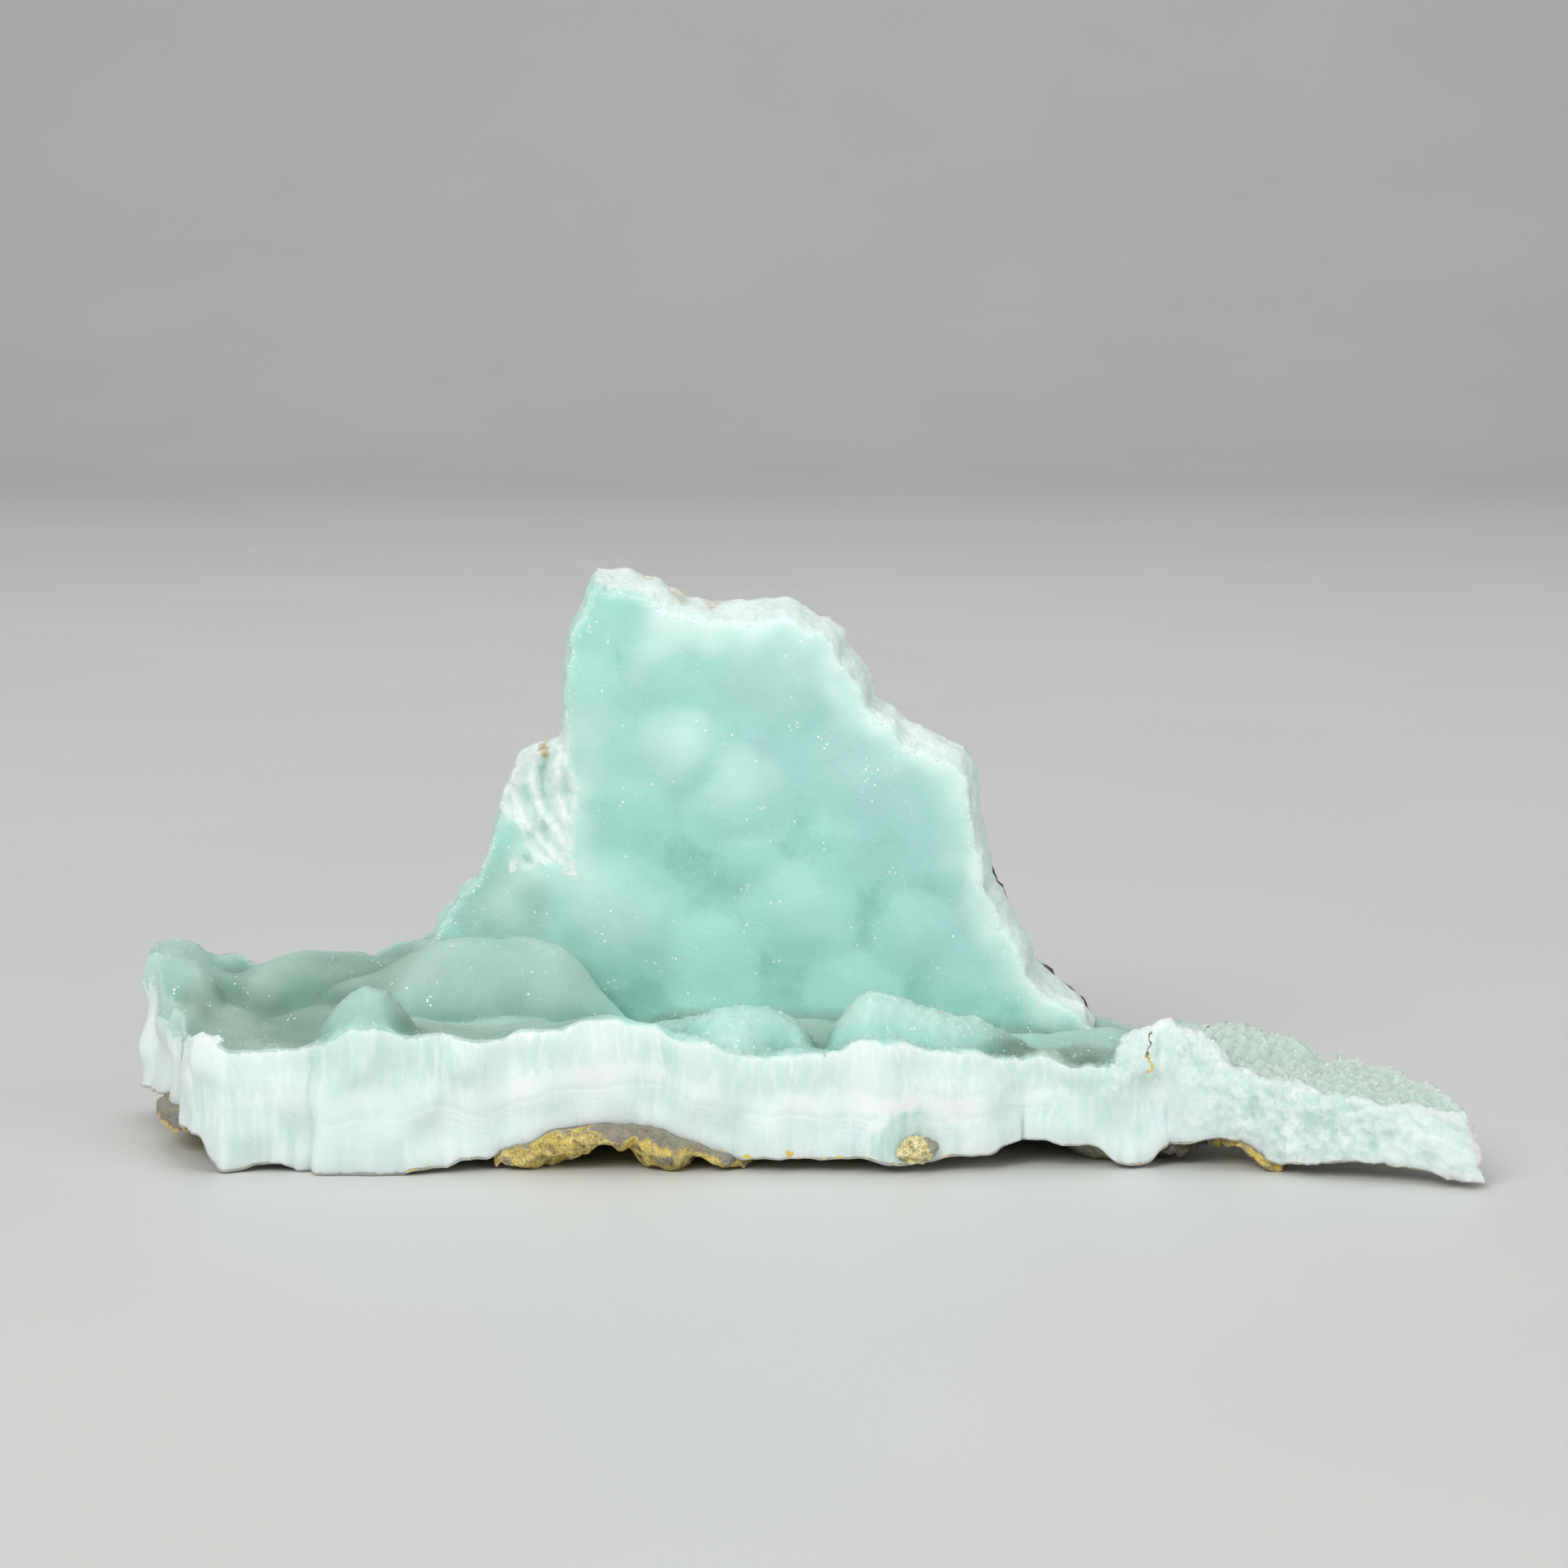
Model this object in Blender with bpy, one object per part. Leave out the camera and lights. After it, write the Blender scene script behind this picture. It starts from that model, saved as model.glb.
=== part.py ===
"""Blue aragonite specimen: a corner of a lined cavity, with its floor, a standing wall and scraps of rind.

The crust grew as one piece, so the floor slab and the standing wall are joined in one solid. Both have a
lumpy growth surface on the inside of the corner, broken edges all round, and an attachment surface
outside, where scraps of the old limonite rind still cling.

Sizes are in millimetres up to the last step, which makes metres. X runs along the length, Y to the back
and Z up. The origin is at the middle of the box around the whole specimen, on the surface it rests on.
"""

import math

import bmesh
import bpy
import numpy as np
from mathutils import Vector
from mathutils.geometry import delaunay_2d_cdt

MILLIMETRE = 0.001
BOX_CENTRE = (0.14, -4.16)  # of the outlines' own axes, and moved to the origin at the end

# Facet sizes
EDGE_STEP = 1.7
GROWTH_SPACING = 1.65
ATTACHMENT_SPACING = 3.4
FRACTURE_ROWS = 4
RIND_STEP = 1.7
RIND_ROWS = 2

# The gap between two pieces that touch, and the least thickness of a rind
CLEARANCE = 0.3
THINNEST_RIND = 0.2

# The floor in plan: x, y, and how far the top edge stands back from the lower edge
FLOOR_OUTLINE = [
    (-48.8, -17.4, 0.3),
    (-46.0, -19.5, 0.5),
    (-42.5, -18.8, 0.6),
    (-39.0, -18.6, 0.4),
    (-38.2, -20.1, 0.8),
    (-33.8, -20.6, 1.0),
    (-29.5, -19.6, 0.8),
    (-24.5, -18.4, 0.4),
    (-19.0, -18.0, 0.2),
    (-14.0, -18.3, 0.2),
    (-8.0, -18.8, 0.4),
    (-2.0, -18.8, 0.5),
    (4.0, -19.2, 0.6),
    (9.0, -19.7, 0.8),
    (13.0, -19.1, 0.6),
    (16.0, -18.2, 0.3),
    (19.8, -17.0, 0.2),
    (24.0, -17.3, 0.4),
    (28.5, -17.6, 0.8),
    (32.0, -16.4, 0.3),
    (36.0, -17.2, 0.5),
    (40.5, -19.6, 1.2),
    (45.0, -21.4, 1.0),
    (50.0, -23.4, 0.8),
    (54.0, -25.0, 0.6),
    (56.4, -25.8, 0.9),
    (56.6, -22.6, 1.2),
    (54.6, -18.6, 0.6),
    (52.0, -15.2, 0.6),
    (49.5, -12.0, 0.8),
    (46.5, -9.0, 0.8),
    (43.5, -6.4, 0.6),
    (40.0, -3.8, 0.6),
    (36.5, -1.0, 0.6),
    (33.5, 3.0, 0.8),
    (31.0, 6.0, 0.4),
    (27.5, 7.8, -0.4),
    (22.0, 7.8, -0.9),
    (14.0, 8.4, -1.3),
    (5.0, 9.4, -1.5),
    (-5.0, 10.5, -1.6),
    (-14.0, 11.7, -1.5),
    (-22.0, 12.7, -1.6),
    (-29.0, 13.5, -1.6),
    (-34.4, 13.8, -1.2),
    (-38.0, 11.4, 0.2),
    (-43.0, 10.6, 0.5),
    (-48.0, 10.2, 0.6),
    (-52.0, 9.8, 0.6),
    (-55.4, 7.6, 0.5),
    (-56.0, 3.5, 0.3),
    (-54.3, -1.0, 0.4),
    (-52.9, -4.5, 0.5),
    (-53.0, -7.0, 0.6),
    (-51.0, -10.5, 0.4),
    (-50.5, -14.0, 0.3),
]

# Spot heights on top of the floor: x, y, z. Its lumps come on top of these.
FLOOR_SPOTS = [
    (-48.0, -17.5, 10.6),
    (-44.0, -18.5, 9.8),
    (-41.0, -18.0, 10.0),
    (-38.5, -18.5, 10.5),
    (-34.0, -19.5, 12.0),
    (-29.5, -19.0, 11.3),
    (-24.5, -18.0, 10.9),
    (-20.5, -17.8, 11.8),
    (-15.0, -18.0, 12.7),
    (-11.5, -18.0, 12.0),
    (-8.0, -18.0, 10.6),
    (-3.0, -18.3, 9.3),
    (2.0, -18.5, 9.6),
    (8.0, -19.0, 10.6),
    (14.0, -18.0, 9.8),
    (19.5, -17.0, 9.0),
    (25.0, -17.0, 8.2),
    (31.0, -16.5, 9.6),
    (37.0, -17.0, 7.7),
    (41.6, -19.2, 7.5),
    (44.0, -20.5, 6.4),
    (50.0, -22.8, 6.3),
    (53.0, -24.0, 5.9),
    (56.2, -25.0, 4.6),
    (-47.0, -12.0, 9.6),
    (-41.0, -12.0, 9.3),
    (-36.0, -12.0, 10.0),
    (-30.0, -13.0, 10.5),
    (-24.0, -13.0, 10.2),
    (-17.0, -13.0, 10.6),
    (-11.0, -13.0, 9.6),
    (-4.0, -12.0, 8.8),
    (4.0, -10.0, 8.4),
    (11.0, -10.0, 8.4),
    (18.0, -12.0, 8.2),
    (24.0, -12.0, 7.6),
    (29.0, -11.0, 7.9),
    (35.0, -12.0, 8.2),
    (38.0, -13.0, 7.3),
    (42.0, -14.5, 6.4),
    (45.5, -17.0, 5.6),
    (50.0, -20.0, 5.2),
    (54.0, -22.4, 5.0),
    (56.5, -23.0, 4.4),
    (-52.0, -5.0, 11.6),
    (-46.5, -5.0, 9.8),
    (-40.0, -5.0, 9.9),
    (-34.0, -6.0, 10.3),
    (-25.0, -7.0, 10.2),
    (-14.0, -6.0, 9.6),
    (-8.0, -4.0, 8.9),
    (0.0, -3.0, 8.6),
    (10.0, -4.0, 8.2),
    (18.0, -4.0, 7.9),
    (24.0, -4.0, 7.6),
    (30.0, -5.0, 7.9),
    (35.0, -7.0, 8.8),
    (40.0, -8.0, 9.0),
    (44.0, -11.0, 7.6),
    (48.0, -14.0, 6.3),
    (52.0, -18.0, 5.6),
    (-55.0, 5.0, 14.4),
    (-53.0, 8.0, 14.9),
    (-50.0, 8.5, 13.9),
    (-46.6, 7.0, 12.4),
    (-43.0, 8.5, 13.6),
    (-38.0, 9.0, 13.9),
    (-35.5, 9.0, 13.2),
    (-31.0, 11.0, 15.0),
    (-24.0, 7.0, 11.5),
    (-14.6, 3.2, 7.4),
    (-8.0, 3.6, 8.6),
    (5.0, 3.0, 8.6),
    (18.0, 3.0, 8.2),
    (25.0, 5.0, 8.0),
    (30.0, 5.0, 8.0),
    (35.0, -1.0, 9.0),
    (40.0, -4.5, 9.3),
    (45.0, -8.5, 7.2),
    (50.0, -13.0, 6.1),
]
FLOOR_REACH = 1.6

# Lumps on the floor: x, y, two radii, turn in degrees, foot height and crown height
FLOOR_LUMPS = [
    (-53.4, 3.6, 5.0, 8.6, 8, 8.0, 15.2),
    (-42.6, 5.0, 9.0, 5.4, 50, 7.5, 14.5),
    (-47.5, -2.5, 4.6, 5.4, 0, 7.5, 10.9),
    (-39.5, -9.0, 6.4, 4.6, 20, 8.0, 10.6),
    (-26.2, 1.4, 11.9, 6.5, 2, 7.0, 16.4),
    (-34.2, -16.6, 4.8, 5.0, 0, 9.0, 12.6),
    (-34.3, -16.0, 2.5, 4.2, 0, 10.0, 14.9),
    (-16.0, -15.5, 6.5, 4.2, 0, 9.0, 12.6),
    (-3.1, -12.4, 6.3, 6.4, 0, 7.0, 12.9),
    (7.4, -12.6, 4.6, 6.6, 8, 7.0, 13.8),
    (11.4, -12.4, 5.6, 6.4, 0, 7.0, 13.0),
    (15.6, -12.2, 5.4, 6.0, 0, 7.0, 11.7),
    (19.6, -12.0, 4.6, 5.2, 0, 7.0, 10.3),
    (26.5, -3.0, 5.0, 5.5, 0, 6.5, 8.9),
    (15.0, -3.0, 6.0, 4.5, 0, 6.5, 9.1),
    (2.0, -1.5, 5.5, 4.0, 0, 6.5, 9.6),
    (31.3, -14.6, 5.4, 5.8, 0, 6.5, 10.9),
    (31.0, -15.2, 2.9, 4.4, 0, 7.5, 13.0),
    (37.6, -7.0, 5.6, 4.2, -32, 5.5, 10.1),
    (42.4, -8.6, 4.6, 3.2, -38, 5.0, 9.0),
    (46.6, -12.2, 4.4, 2.9, -42, 4.5, 7.5),
    (51.0, -16.4, 4.4, 2.4, -44, 4.0, 6.4),
]
LUMP_FILLET = 0.7

# Spot heights under the floor: x, y, z. The feet are where these reach the resting surface.
UNDERSIDE_SPOTS = [
    (-48.8, -17.0, 3.1),
    (-45.8, -19.5, 0.0),
    (-42.0, -18.5, 0.4),
    (-38.2, -19.5, -0.6),
    (-33.7, -19.6, -0.9),
    (-29.8, -19.3, 0.3),
    (-24.5, -18.4, 0.7),
    (-21.6, -18.0, 1.7),
    (-18.5, -18.0, 3.0),
    (-15.2, -18.0, 3.4),
    (-11.0, -18.2, 3.2),
    (-7.7, -18.5, 2.6),
    (-5.5, -18.7, 1.7),
    (-2.5, -18.8, 0.8),
    (5.0, -19.0, 0.8),
    (10.0, -19.3, 0.5),
    (15.6, -18.2, 1.1),
    (19.8, -17.0, 2.1),
    (24.9, -17.2, 1.4),
    (28.5, -17.4, 0.3),
    (32.5, -16.5, 1.9),
    (37.0, -17.6, 2.0),
    (40.7, -19.5, 0.8),
    (44.5, -21.2, 1.1),
    (49.0, -22.8, 0.9),
    (56.5, -25.6, 0.6),
    (-55.5, 5.0, 3.0),
    (-53.0, -3.0, 3.4),
    (-50.0, -10.0, 3.2),
    (-46.0, -8.0, 1.8),
    (-47.0, 4.0, 2.2),
    (-40.0, -8.0, 1.2),
    (-38.0, 6.0, 0.9),
    (-30.0, -8.0, 1.6),
    (-28.0, 8.0, -1.2),
    (-26.0, 12.0, -0.8),
    (-18.0, -8.0, 2.4),
    (-12.0, 0.0, 2.2),
    (-8.0, 9.0, 1.0),
    (0.0, -10.0, 2.2),
    (4.0, 0.0, 2.0),
    (10.0, -10.0, 1.8),
    (14.0, 6.0, 0.2),
    (20.0, -6.0, 1.2),
    (21.0, 4.6, -1.2),
    (28.6, -12.6, -0.9),
    (30.0, 4.0, 1.5),
    (36.0, -6.0, 2.4),
    (43.0, -10.0, 2.4),
    (50.0, -16.0, 1.9),
    (56.0, -22.0, 1.1),
]
UNDERSIDE_REACH = 2.0

# The standing wall seen from the front: x, z, and how far the front edge stands inside the back edge
WALL_OUTLINE = [
    (22.0, 4.6, 0.0),
    (27.2, 6.4, 0.4),
    (27.6, 8.6, 0.9),
    (25.8, 10.5, 1.8),
    (24.0, 12.0, 2.2),
    (22.2, 13.8, 2.3),
    (20.8, 16.3, 2.3),
    (19.7, 18.8, 2.2),
    (18.7, 21.3, 2.1),
    (17.4, 26.3, 1.9),
    (16.9, 30.4, 2.1),
    (15.8, 32.0, 2.5),
    (12.6, 33.6, 2.6),
    (8.9, 35.7, 2.2),
    (7.9, 38.1, 2.2),
    (5.7, 40.8, 2.2),
    (5.2, 42.1, 2.3),
    (3.9, 43.1, 2.4),
    (1.4, 44.6, 2.7),
    (-0.1, 45.0, 2.7),
    (-2.6, 44.7, 2.4),
    (-6.2, 44.6, 2.3),
    (-8.4, 45.3, 2.5),
    (-12.1, 46.8, 2.8),
    (-15.0, 47.5, 2.9),
    (-16.7, 47.7, 2.4),
    (-17.3, 46.0, 0.9),
    (-17.8, 43.8, 0.5),
    (-18.9, 42.1, 0.4),
    (-19.5, 39.2, 0.4),
    (-19.7, 36.3, 0.4),
    (-19.6, 32.6, 0.4),
    (-22.2, 31.9, 0.3),
    (-23.6, 30.5, 0.3),
    (-25.1, 28.2, 0.3),
    (-25.6, 26.1, 0.3),
    (-26.7, 22.6, 0.4),
    (-27.3, 20.9, 0.5),
    (-28.6, 19.5, 0.6),
    (-29.5, 18.0, 0.6),
    (-31.1, 15.6, 0.6),
    (-32.4, 14.4, 0.6),
    (-33.4, 11.0, 0.4),
    (-32.0, 4.6, 0.0),
]

# The wall's front: its depth at one point, how it leans back, how it turns, and its thickness
WALL_FOOT = (2.0, 9.5)
WALL_FOOT_DEPTH = 3.6
WALL_LEAN = 0.10
WALL_TURN = -0.12
WALL_THICKNESS = 7.6

# Lumps on the wall's front: x, z, two radii, turn in degrees, foot and crown towards the viewer
WALL_LUMPS = [
    (-4.2, 27.8, 3.4, 3.4, 0, -1.4, 1.5),
    (-9.8, 32.2, 3.4, 3.2, 0, -1.2, 1.2),
    (-15.0, 17.0, 6.6, 6.2, 0, -2.0, 2.0),
    (-6.8, 13.8, 5.6, 4.8, 0, -1.8, 1.5),
    (1.6, 18.2, 5.6, 5.0, -20, -1.8, 1.7),
    (-3.2, 22.6, 3.4, 2.8, 0, -1.0, 1.1),
    (11.4, 16.4, 4.2, 4.2, 0, -1.4, 1.3),
    (6.0, 11.6, 4.8, 4.0, 0, -1.4, 1.3),
    (16.4, 12.2, 4.4, 4.4, 0, -1.4, 1.2),
    (-11.6, 39.6, 3.0, 2.8, 0, -1.0, 0.9),
    (-17.4, 37.4, 3.2, 4.2, 0, -1.2, 1.0),
    (-16.4, 43.2, 2.2, 2.6, 0, -0.8, 0.6),
    (-0.6, 38.6, 5.6, 4.4, 10, -1.3, 0.8),
    (6.2, 30.4, 5.4, 5.0, 0, -1.4, 0.9),
    (12.2, 25.0, 4.6, 5.4, 0, -1.3, 0.8),
    (-14.4, 26.4, 5.2, 5.6, 0, -1.4, 0.9),
    (-15.6, 32.6, 3.4, 3.6, 0, -1.2, 0.8),
    (5.2, 23.4, 4.0, 4.2, 0, -1.2, 0.8),
    (-23.6, 16.4, 4.6, 4.6, 0, -2.0, 1.0),
    (-21.0, 19.4, 3.0, 3.4, 0, -1.2, 0.6),
    (-28.2, 15.0, 3.4, 3.6, 0, -2.0, 0.2),
]
WALL_FILLET = 0.9

# The chip out of the wall's left shoulder: a corner point, the slope of its lower edge, its depth for
# each millimetre in from its edges, its greatest depth, and the ridges that the break left
CHIP_CORNER = (-17.2, 20.2)
CHIP_LOWER_SLOPE = 0.6
CHIP_STEEPNESS = 1.05
CHIP_DEPTH = 5.6
CHIP_RIDGE = 0.45
CHIP_RIDGE_WIDTH = 2.3

# Roughness: how far a surface swells, and the size of its swells
GROWTH_SWELL = (0.22, 4.0)
ATTACHMENT_SWELL = (0.5, 6.0)
FRACTURE_SWELL = (0.55, 3.2)
OUTLINE_SWELL = (0.3, 2.6)

# Rind under the middle of the floor: x, y, set-back of the face against the crust
FRONT_RIND_OUTLINE = [
    (-22.6, -17.4, 0.0),
    (-18.0, -17.9, 0.0),
    (-14.0, -18.1, 0.0),
    (-10.0, -18.3, 0.0),
    (-7.0, -18.2, 0.0),
    (-5.4, -16.4, 0.0),
    (-1.0, -14.6, 0.0),
    (5.0, -15.0, 0.0),
    (9.0, -13.5, 0.0),
    (12.0, -9.0, 0.0),
    (9.0, -4.0, 0.0),
    (3.0, -1.5, 0.0),
    (-5.0, 1.0, 0.0),
    (-11.0, 0.0, 0.0),
    (-15.0, -5.0, 0.0),
    (-20.0, -9.0, 0.0),
    (-22.0, -13.0, 0.0),
]
FRONT_RIND_THICKNESS = 0.7
FRONT_RIND_LUMPS = [
    (-18.6, -15.6, 4.2, 3.0, 15, 0.0, 1.7),
    (-10.0, -16.0, 2.6, 3.0, 0, 0.0, 2.3),
    (-13.0, -7.5, 5.0, 4.0, 0, 0.0, 1.5),
    (0.5, -9.0, 5.0, 4.0, 0, 0.0, 1.6),
    (7.0, -8.5, 3.4, 3.0, 0, 0.0, 1.3),
]

# Rind under the left end, in the same terms
LEFT_RIND_OUTLINE = [
    (-52.6, -9.6, 0.0),
    (-49.8, -12.6, 0.0),
    (-48.0, -10.0, 0.0),
    (-47.6, -5.0, 0.0),
    (-49.0, -1.0, 0.0),
    (-51.6, 1.6, 0.0),
    (-53.9, 0.6, 0.0),
    (-52.6, -3.6, 0.0),
    (-53.2, -6.6, 0.0),
]
LEFT_RIND_THICKNESS = 0.8
LEFT_RIND_LUMPS = [
    (-50.6, -8.2, 2.8, 3.4, 0, 0.0, 2.2),
    (-51.6, -1.6, 2.4, 2.8, 0, 0.0, 1.7),
]

# Rind under the root of the tail, in the same terms
TAIL_RIND_OUTLINE = [
    (36.8, -17.2, 0.0),
    (39.0, -18.2, 0.0),
    (40.4, -17.2, 0.0),
    (42.6, -13.6, 0.0),
    (42.4, -9.4, 0.0),
    (38.6, -7.4, 0.0),
    (36.0, -10.4, 0.0),
    (35.8, -14.4, 0.0),
]
TAIL_RIND_THICKNESS = 0.5
TAIL_RIND_LUMPS = [
    (39.6, -13.0, 2.6, 3.4, 0, 0.0, 1.1),
]

# Dark rind between the knob and the tail, in the same terms
DARK_RIND_OUTLINE = [
    (31.6, -15.9, 0.0),
    (33.6, -16.5, 0.0),
    (34.9, -14.8, 0.0),
    (35.0, -11.4, 0.0),
    (32.8, -10.4, 0.0),
    (31.8, -12.8, 0.0),
]
DARK_RIND_THICKNESS = 0.5
DARK_RIND_LUMPS = [
    (33.0, -15.0, 1.2, 1.6, 0, 0.0, 0.9),
]

# Rind on the back of the wall: x, z, and the same set-back
BACK_RIND_OUTLINE = [
    (22.6, 10.6, 0.0),
    (25.4, 10.6, 0.0),
    (23.6, 12.5, 0.0),
    (21.9, 14.2, 0.0),
    (20.4, 17.0, 0.0),
    (19.4, 20.0, 0.0),
    (17.8, 24.0, 0.0),
    (16.4, 29.6, 0.0),
    (13.6, 32.2, 0.0),
    (8.4, 33.4, 0.0),
    (5.8, 38.0, 0.0),
    (2.0, 42.6, 0.0),
    (-3.0, 43.2, 0.0),
    (-8.0, 44.4, 0.0),
    (-13.0, 45.0, 0.0),
    (-15.6, 42.0, 0.0),
    (-16.8, 36.0, 0.0),
    (-18.2, 31.6, 0.0),
    (-22.6, 29.8, 0.0),
    (-24.4, 24.0, 0.0),
    (-26.6, 18.6, 0.0),
    (-27.6, 13.6, 0.0),
    (-20.0, 11.6, 0.0),
    (-8.0, 10.8, 0.0),
    (8.0, 10.2, 0.0),
]
BACK_RIND_THICKNESS = 0.6
BACK_RIND_LUMPS = [
    (-11.0, 34.0, 6.0, 7.0, 20, 0.0, 1.5),
    (-2.0, 20.0, 8.0, 6.0, -10, 0.0, 1.7),
    (11.0, 24.0, 5.0, 6.0, 0, 0.0, 1.3),
    (-19.0, 20.0, 5.0, 5.0, 0, 0.0, 1.4),
    (14.0, 15.0, 5.0, 3.6, 0, 0.0, 1.2),
]

# A limonite nodule in the foot of the front break: its middle, and its radii
NODULE_MIDDLE = (10.9, -19.3, 1.9)
NODULE_RADII = (1.9, 1.4, 1.45)
NODULE_ROUGHNESS = 0.16

# Colours, as linear red, green and blue, with roughness
ARAGONITE = ((0.50, 0.80, 0.74, 1.0), 0.45)
OCHRE_LIMONITE = ((0.55, 0.36, 0.10, 1.0), 0.85)
DARK_RIND = ((0.10, 0.075, 0.055, 1.0), 0.80)


def clear_scene():
    for obj in list(bpy.data.objects):
        bpy.data.objects.remove(obj)


def material(name, look):
    made = bpy.data.materials.new(name)
    made.use_nodes = True
    shader = made.node_tree.nodes["Principled BSDF"]
    shader.inputs["Base Color"].default_value = look[0]
    shader.inputs["Roughness"].default_value = look[1]
    shader.inputs["Metallic"].default_value = 0.0
    return made


def lattice(ix, iy, seed):
    """A fixed number from -1 to 1 for each corner of a square lattice."""
    mixed = (ix * 374761393 + iy * 668265263 + seed * 362437) & 0xFFFFFFFF
    mixed = ((mixed ^ (mixed >> 13)) * 1274126177) & 0xFFFFFFFF
    return ((mixed ^ (mixed >> 16)) & 0xFFFF) / 32767.5 - 1.0


def swell(u, v, amount_and_size, seed):
    """Smooth random height over the u, v plane."""
    amount, size = amount_and_size
    u, v = np.asarray(u) / size, np.asarray(v) / size
    iu, iv = np.floor(u).astype(np.int64), np.floor(v).astype(np.int64)
    fu, fv = u - iu, v - iv
    fu, fv = fu * fu * (3 - 2 * fu), fv * fv * (3 - 2 * fv)
    low = lattice(iu, iv, seed) * (1 - fu) + lattice(iu + 1, iv, seed) * fu
    high = lattice(iu, iv + 1, seed) * (1 - fu) + lattice(iu + 1, iv + 1, seed) * fu
    return amount * (low * (1 - fv) + high * fv)


def blend_spots(spots, u, v, reach):
    """Height at u, v from the spot heights, the nearest counting most."""
    spots = np.array(spots)
    away = (np.asarray(u)[..., None] - spots[:, 0]) ** 2 + (np.asarray(v)[..., None] - spots[:, 1]) ** 2
    weight = (away + reach**2) ** -2.5
    return (weight * spots[:, 2]).sum(-1) / weight.sum(-1)


def smooth_max(a, b, fillet):
    share = np.clip(0.5 + 0.5 * (a - b) / fillet, 0, 1)
    return b + (a - b) * share + fillet * share * (1 - share)


def raise_lumps(height, lumps, u, v, fillet):
    """Rounded lumps standing out of a surface, joined to it by small fillets."""
    for middle_u, middle_v, radius_u, radius_v, turn, foot, crown in lumps:
        cosine, sine = math.cos(math.radians(turn)), math.sin(math.radians(turn))
        p = ((u - middle_u) * cosine + (v - middle_v) * sine) / radius_u
        q = ((v - middle_v) * cosine - (u - middle_u) * sine) / radius_v
        away = p * p + q * q
        lump = foot + (crown - foot) * (np.sqrt(np.clip(1 - away, 0, None)) - np.clip(away - 1, 0, None))
        height = smooth_max(height, lump, fillet)
    return height


def floor_top(x, y):
    base = blend_spots(FLOOR_SPOTS, x, y, FLOOR_REACH)
    return raise_lumps(base, FLOOR_LUMPS, x, y, LUMP_FILLET) + swell(x, y, GROWTH_SWELL, 1)


def floor_underside(x, y):
    base = blend_spots(UNDERSIDE_SPOTS, x, y, UNDERSIDE_REACH)
    return np.maximum(base + swell(x, y, ATTACHMENT_SWELL, 2) * np.clip(base, 0, 1), 0.0)


def wall_plane(x, z):
    """Depth of the wall's mean front."""
    return WALL_FOOT_DEPTH + WALL_LEAN * (z - WALL_FOOT[1]) + WALL_TURN * (x - WALL_FOOT[0])


def chip_depth(x, z):
    """How far the broken shoulder lies behind the growth surface."""
    from_side = CHIP_CORNER[0] - x
    lower_edge = CHIP_CORNER[1] + CHIP_LOWER_SLOPE * from_side
    inside = np.minimum(from_side, (z - lower_edge) * math.cos(math.atan(CHIP_LOWER_SLOPE)))
    ridges = CHIP_RIDGE * np.sin(2 * math.pi * (from_side - 0.18 * (z - CHIP_CORNER[1])) / CHIP_RIDGE_WIDTH)
    deep = np.clip(CHIP_STEEPNESS * inside, 0, CHIP_DEPTH)
    return deep + ridges * np.clip(inside, 0, 1)


def wall_front(x, z):
    relief = raise_lumps(np.zeros_like(x), WALL_LUMPS, x, z, WALL_FILLET)
    relief = relief + swell(x, z, GROWTH_SWELL, 3)
    return wall_plane(x, z) - relief + chip_depth(x, z)


def wall_back(x, z):
    return wall_plane(x, z) + WALL_THICKNESS + swell(x, z, ATTACHMENT_SWELL, 4)


def closed_run(outline, step):
    """The closed outline's own points with others about a step apart between them."""
    rows = np.array(outline + outline[:1], float)
    run = []
    for start, end in zip(rows, rows[1:]):
        pieces = max(1, round(math.dist(start[:2], end[:2]) / step))
        run += [start + (end - start) * piece / pieces for piece in range(pieces)]
    return np.array(run)


def outward(loop):
    """Unit normals that point out of a closed loop of points, whichever way round it runs."""
    ahead = np.roll(loop, -1, axis=0) - np.roll(loop, 1, axis=0)
    normal = np.stack([ahead[:, 1], -ahead[:, 0]], axis=1)
    normal /= np.linalg.norm(normal, axis=1)[:, None]
    turned = np.roll(loop, -1, axis=0)
    area = (loop[:, 0] * turned[:, 1] - loop[:, 1] * turned[:, 0]).sum()
    return normal if area > 0 else -normal


def fill(loop, spacing):
    """The loop's points followed by a grid of others, and the triangles between those inside the loop."""
    low, high = loop.min(0), loop.max(0)
    row_height = spacing * math.sqrt(3) / 2
    rows = int((high[1] - low[1]) / row_height) + 1
    columns = int((high[0] - low[0]) / spacing) + 2
    grid = []
    for row in range(rows):
        for column in range(columns):
            point = low + ((column + 0.5 * (row % 2)) * spacing, row * row_height)
            if np.hypot(*(loop - point).T).min() > 0.62 * spacing:
                grid.append(point)
    points = np.concatenate([loop, np.array(grid)])
    edge = [list(range(len(loop)))]
    result = delaunay_2d_cdt([Vector(p) for p in points], [], edge, 1, 1e-6)
    made, faces, origins = np.array(result[0]), result[2], result[3]
    renumber = [origin[0] for origin in origins]
    used = sorted({index for face in faces for index in face})
    if len(made) < len(loop) or used[-1] >= len(renumber):
        raise ValueError("the outline crosses itself")
    return points, [[renumber[index] for index in face] for face in faces]


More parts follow.
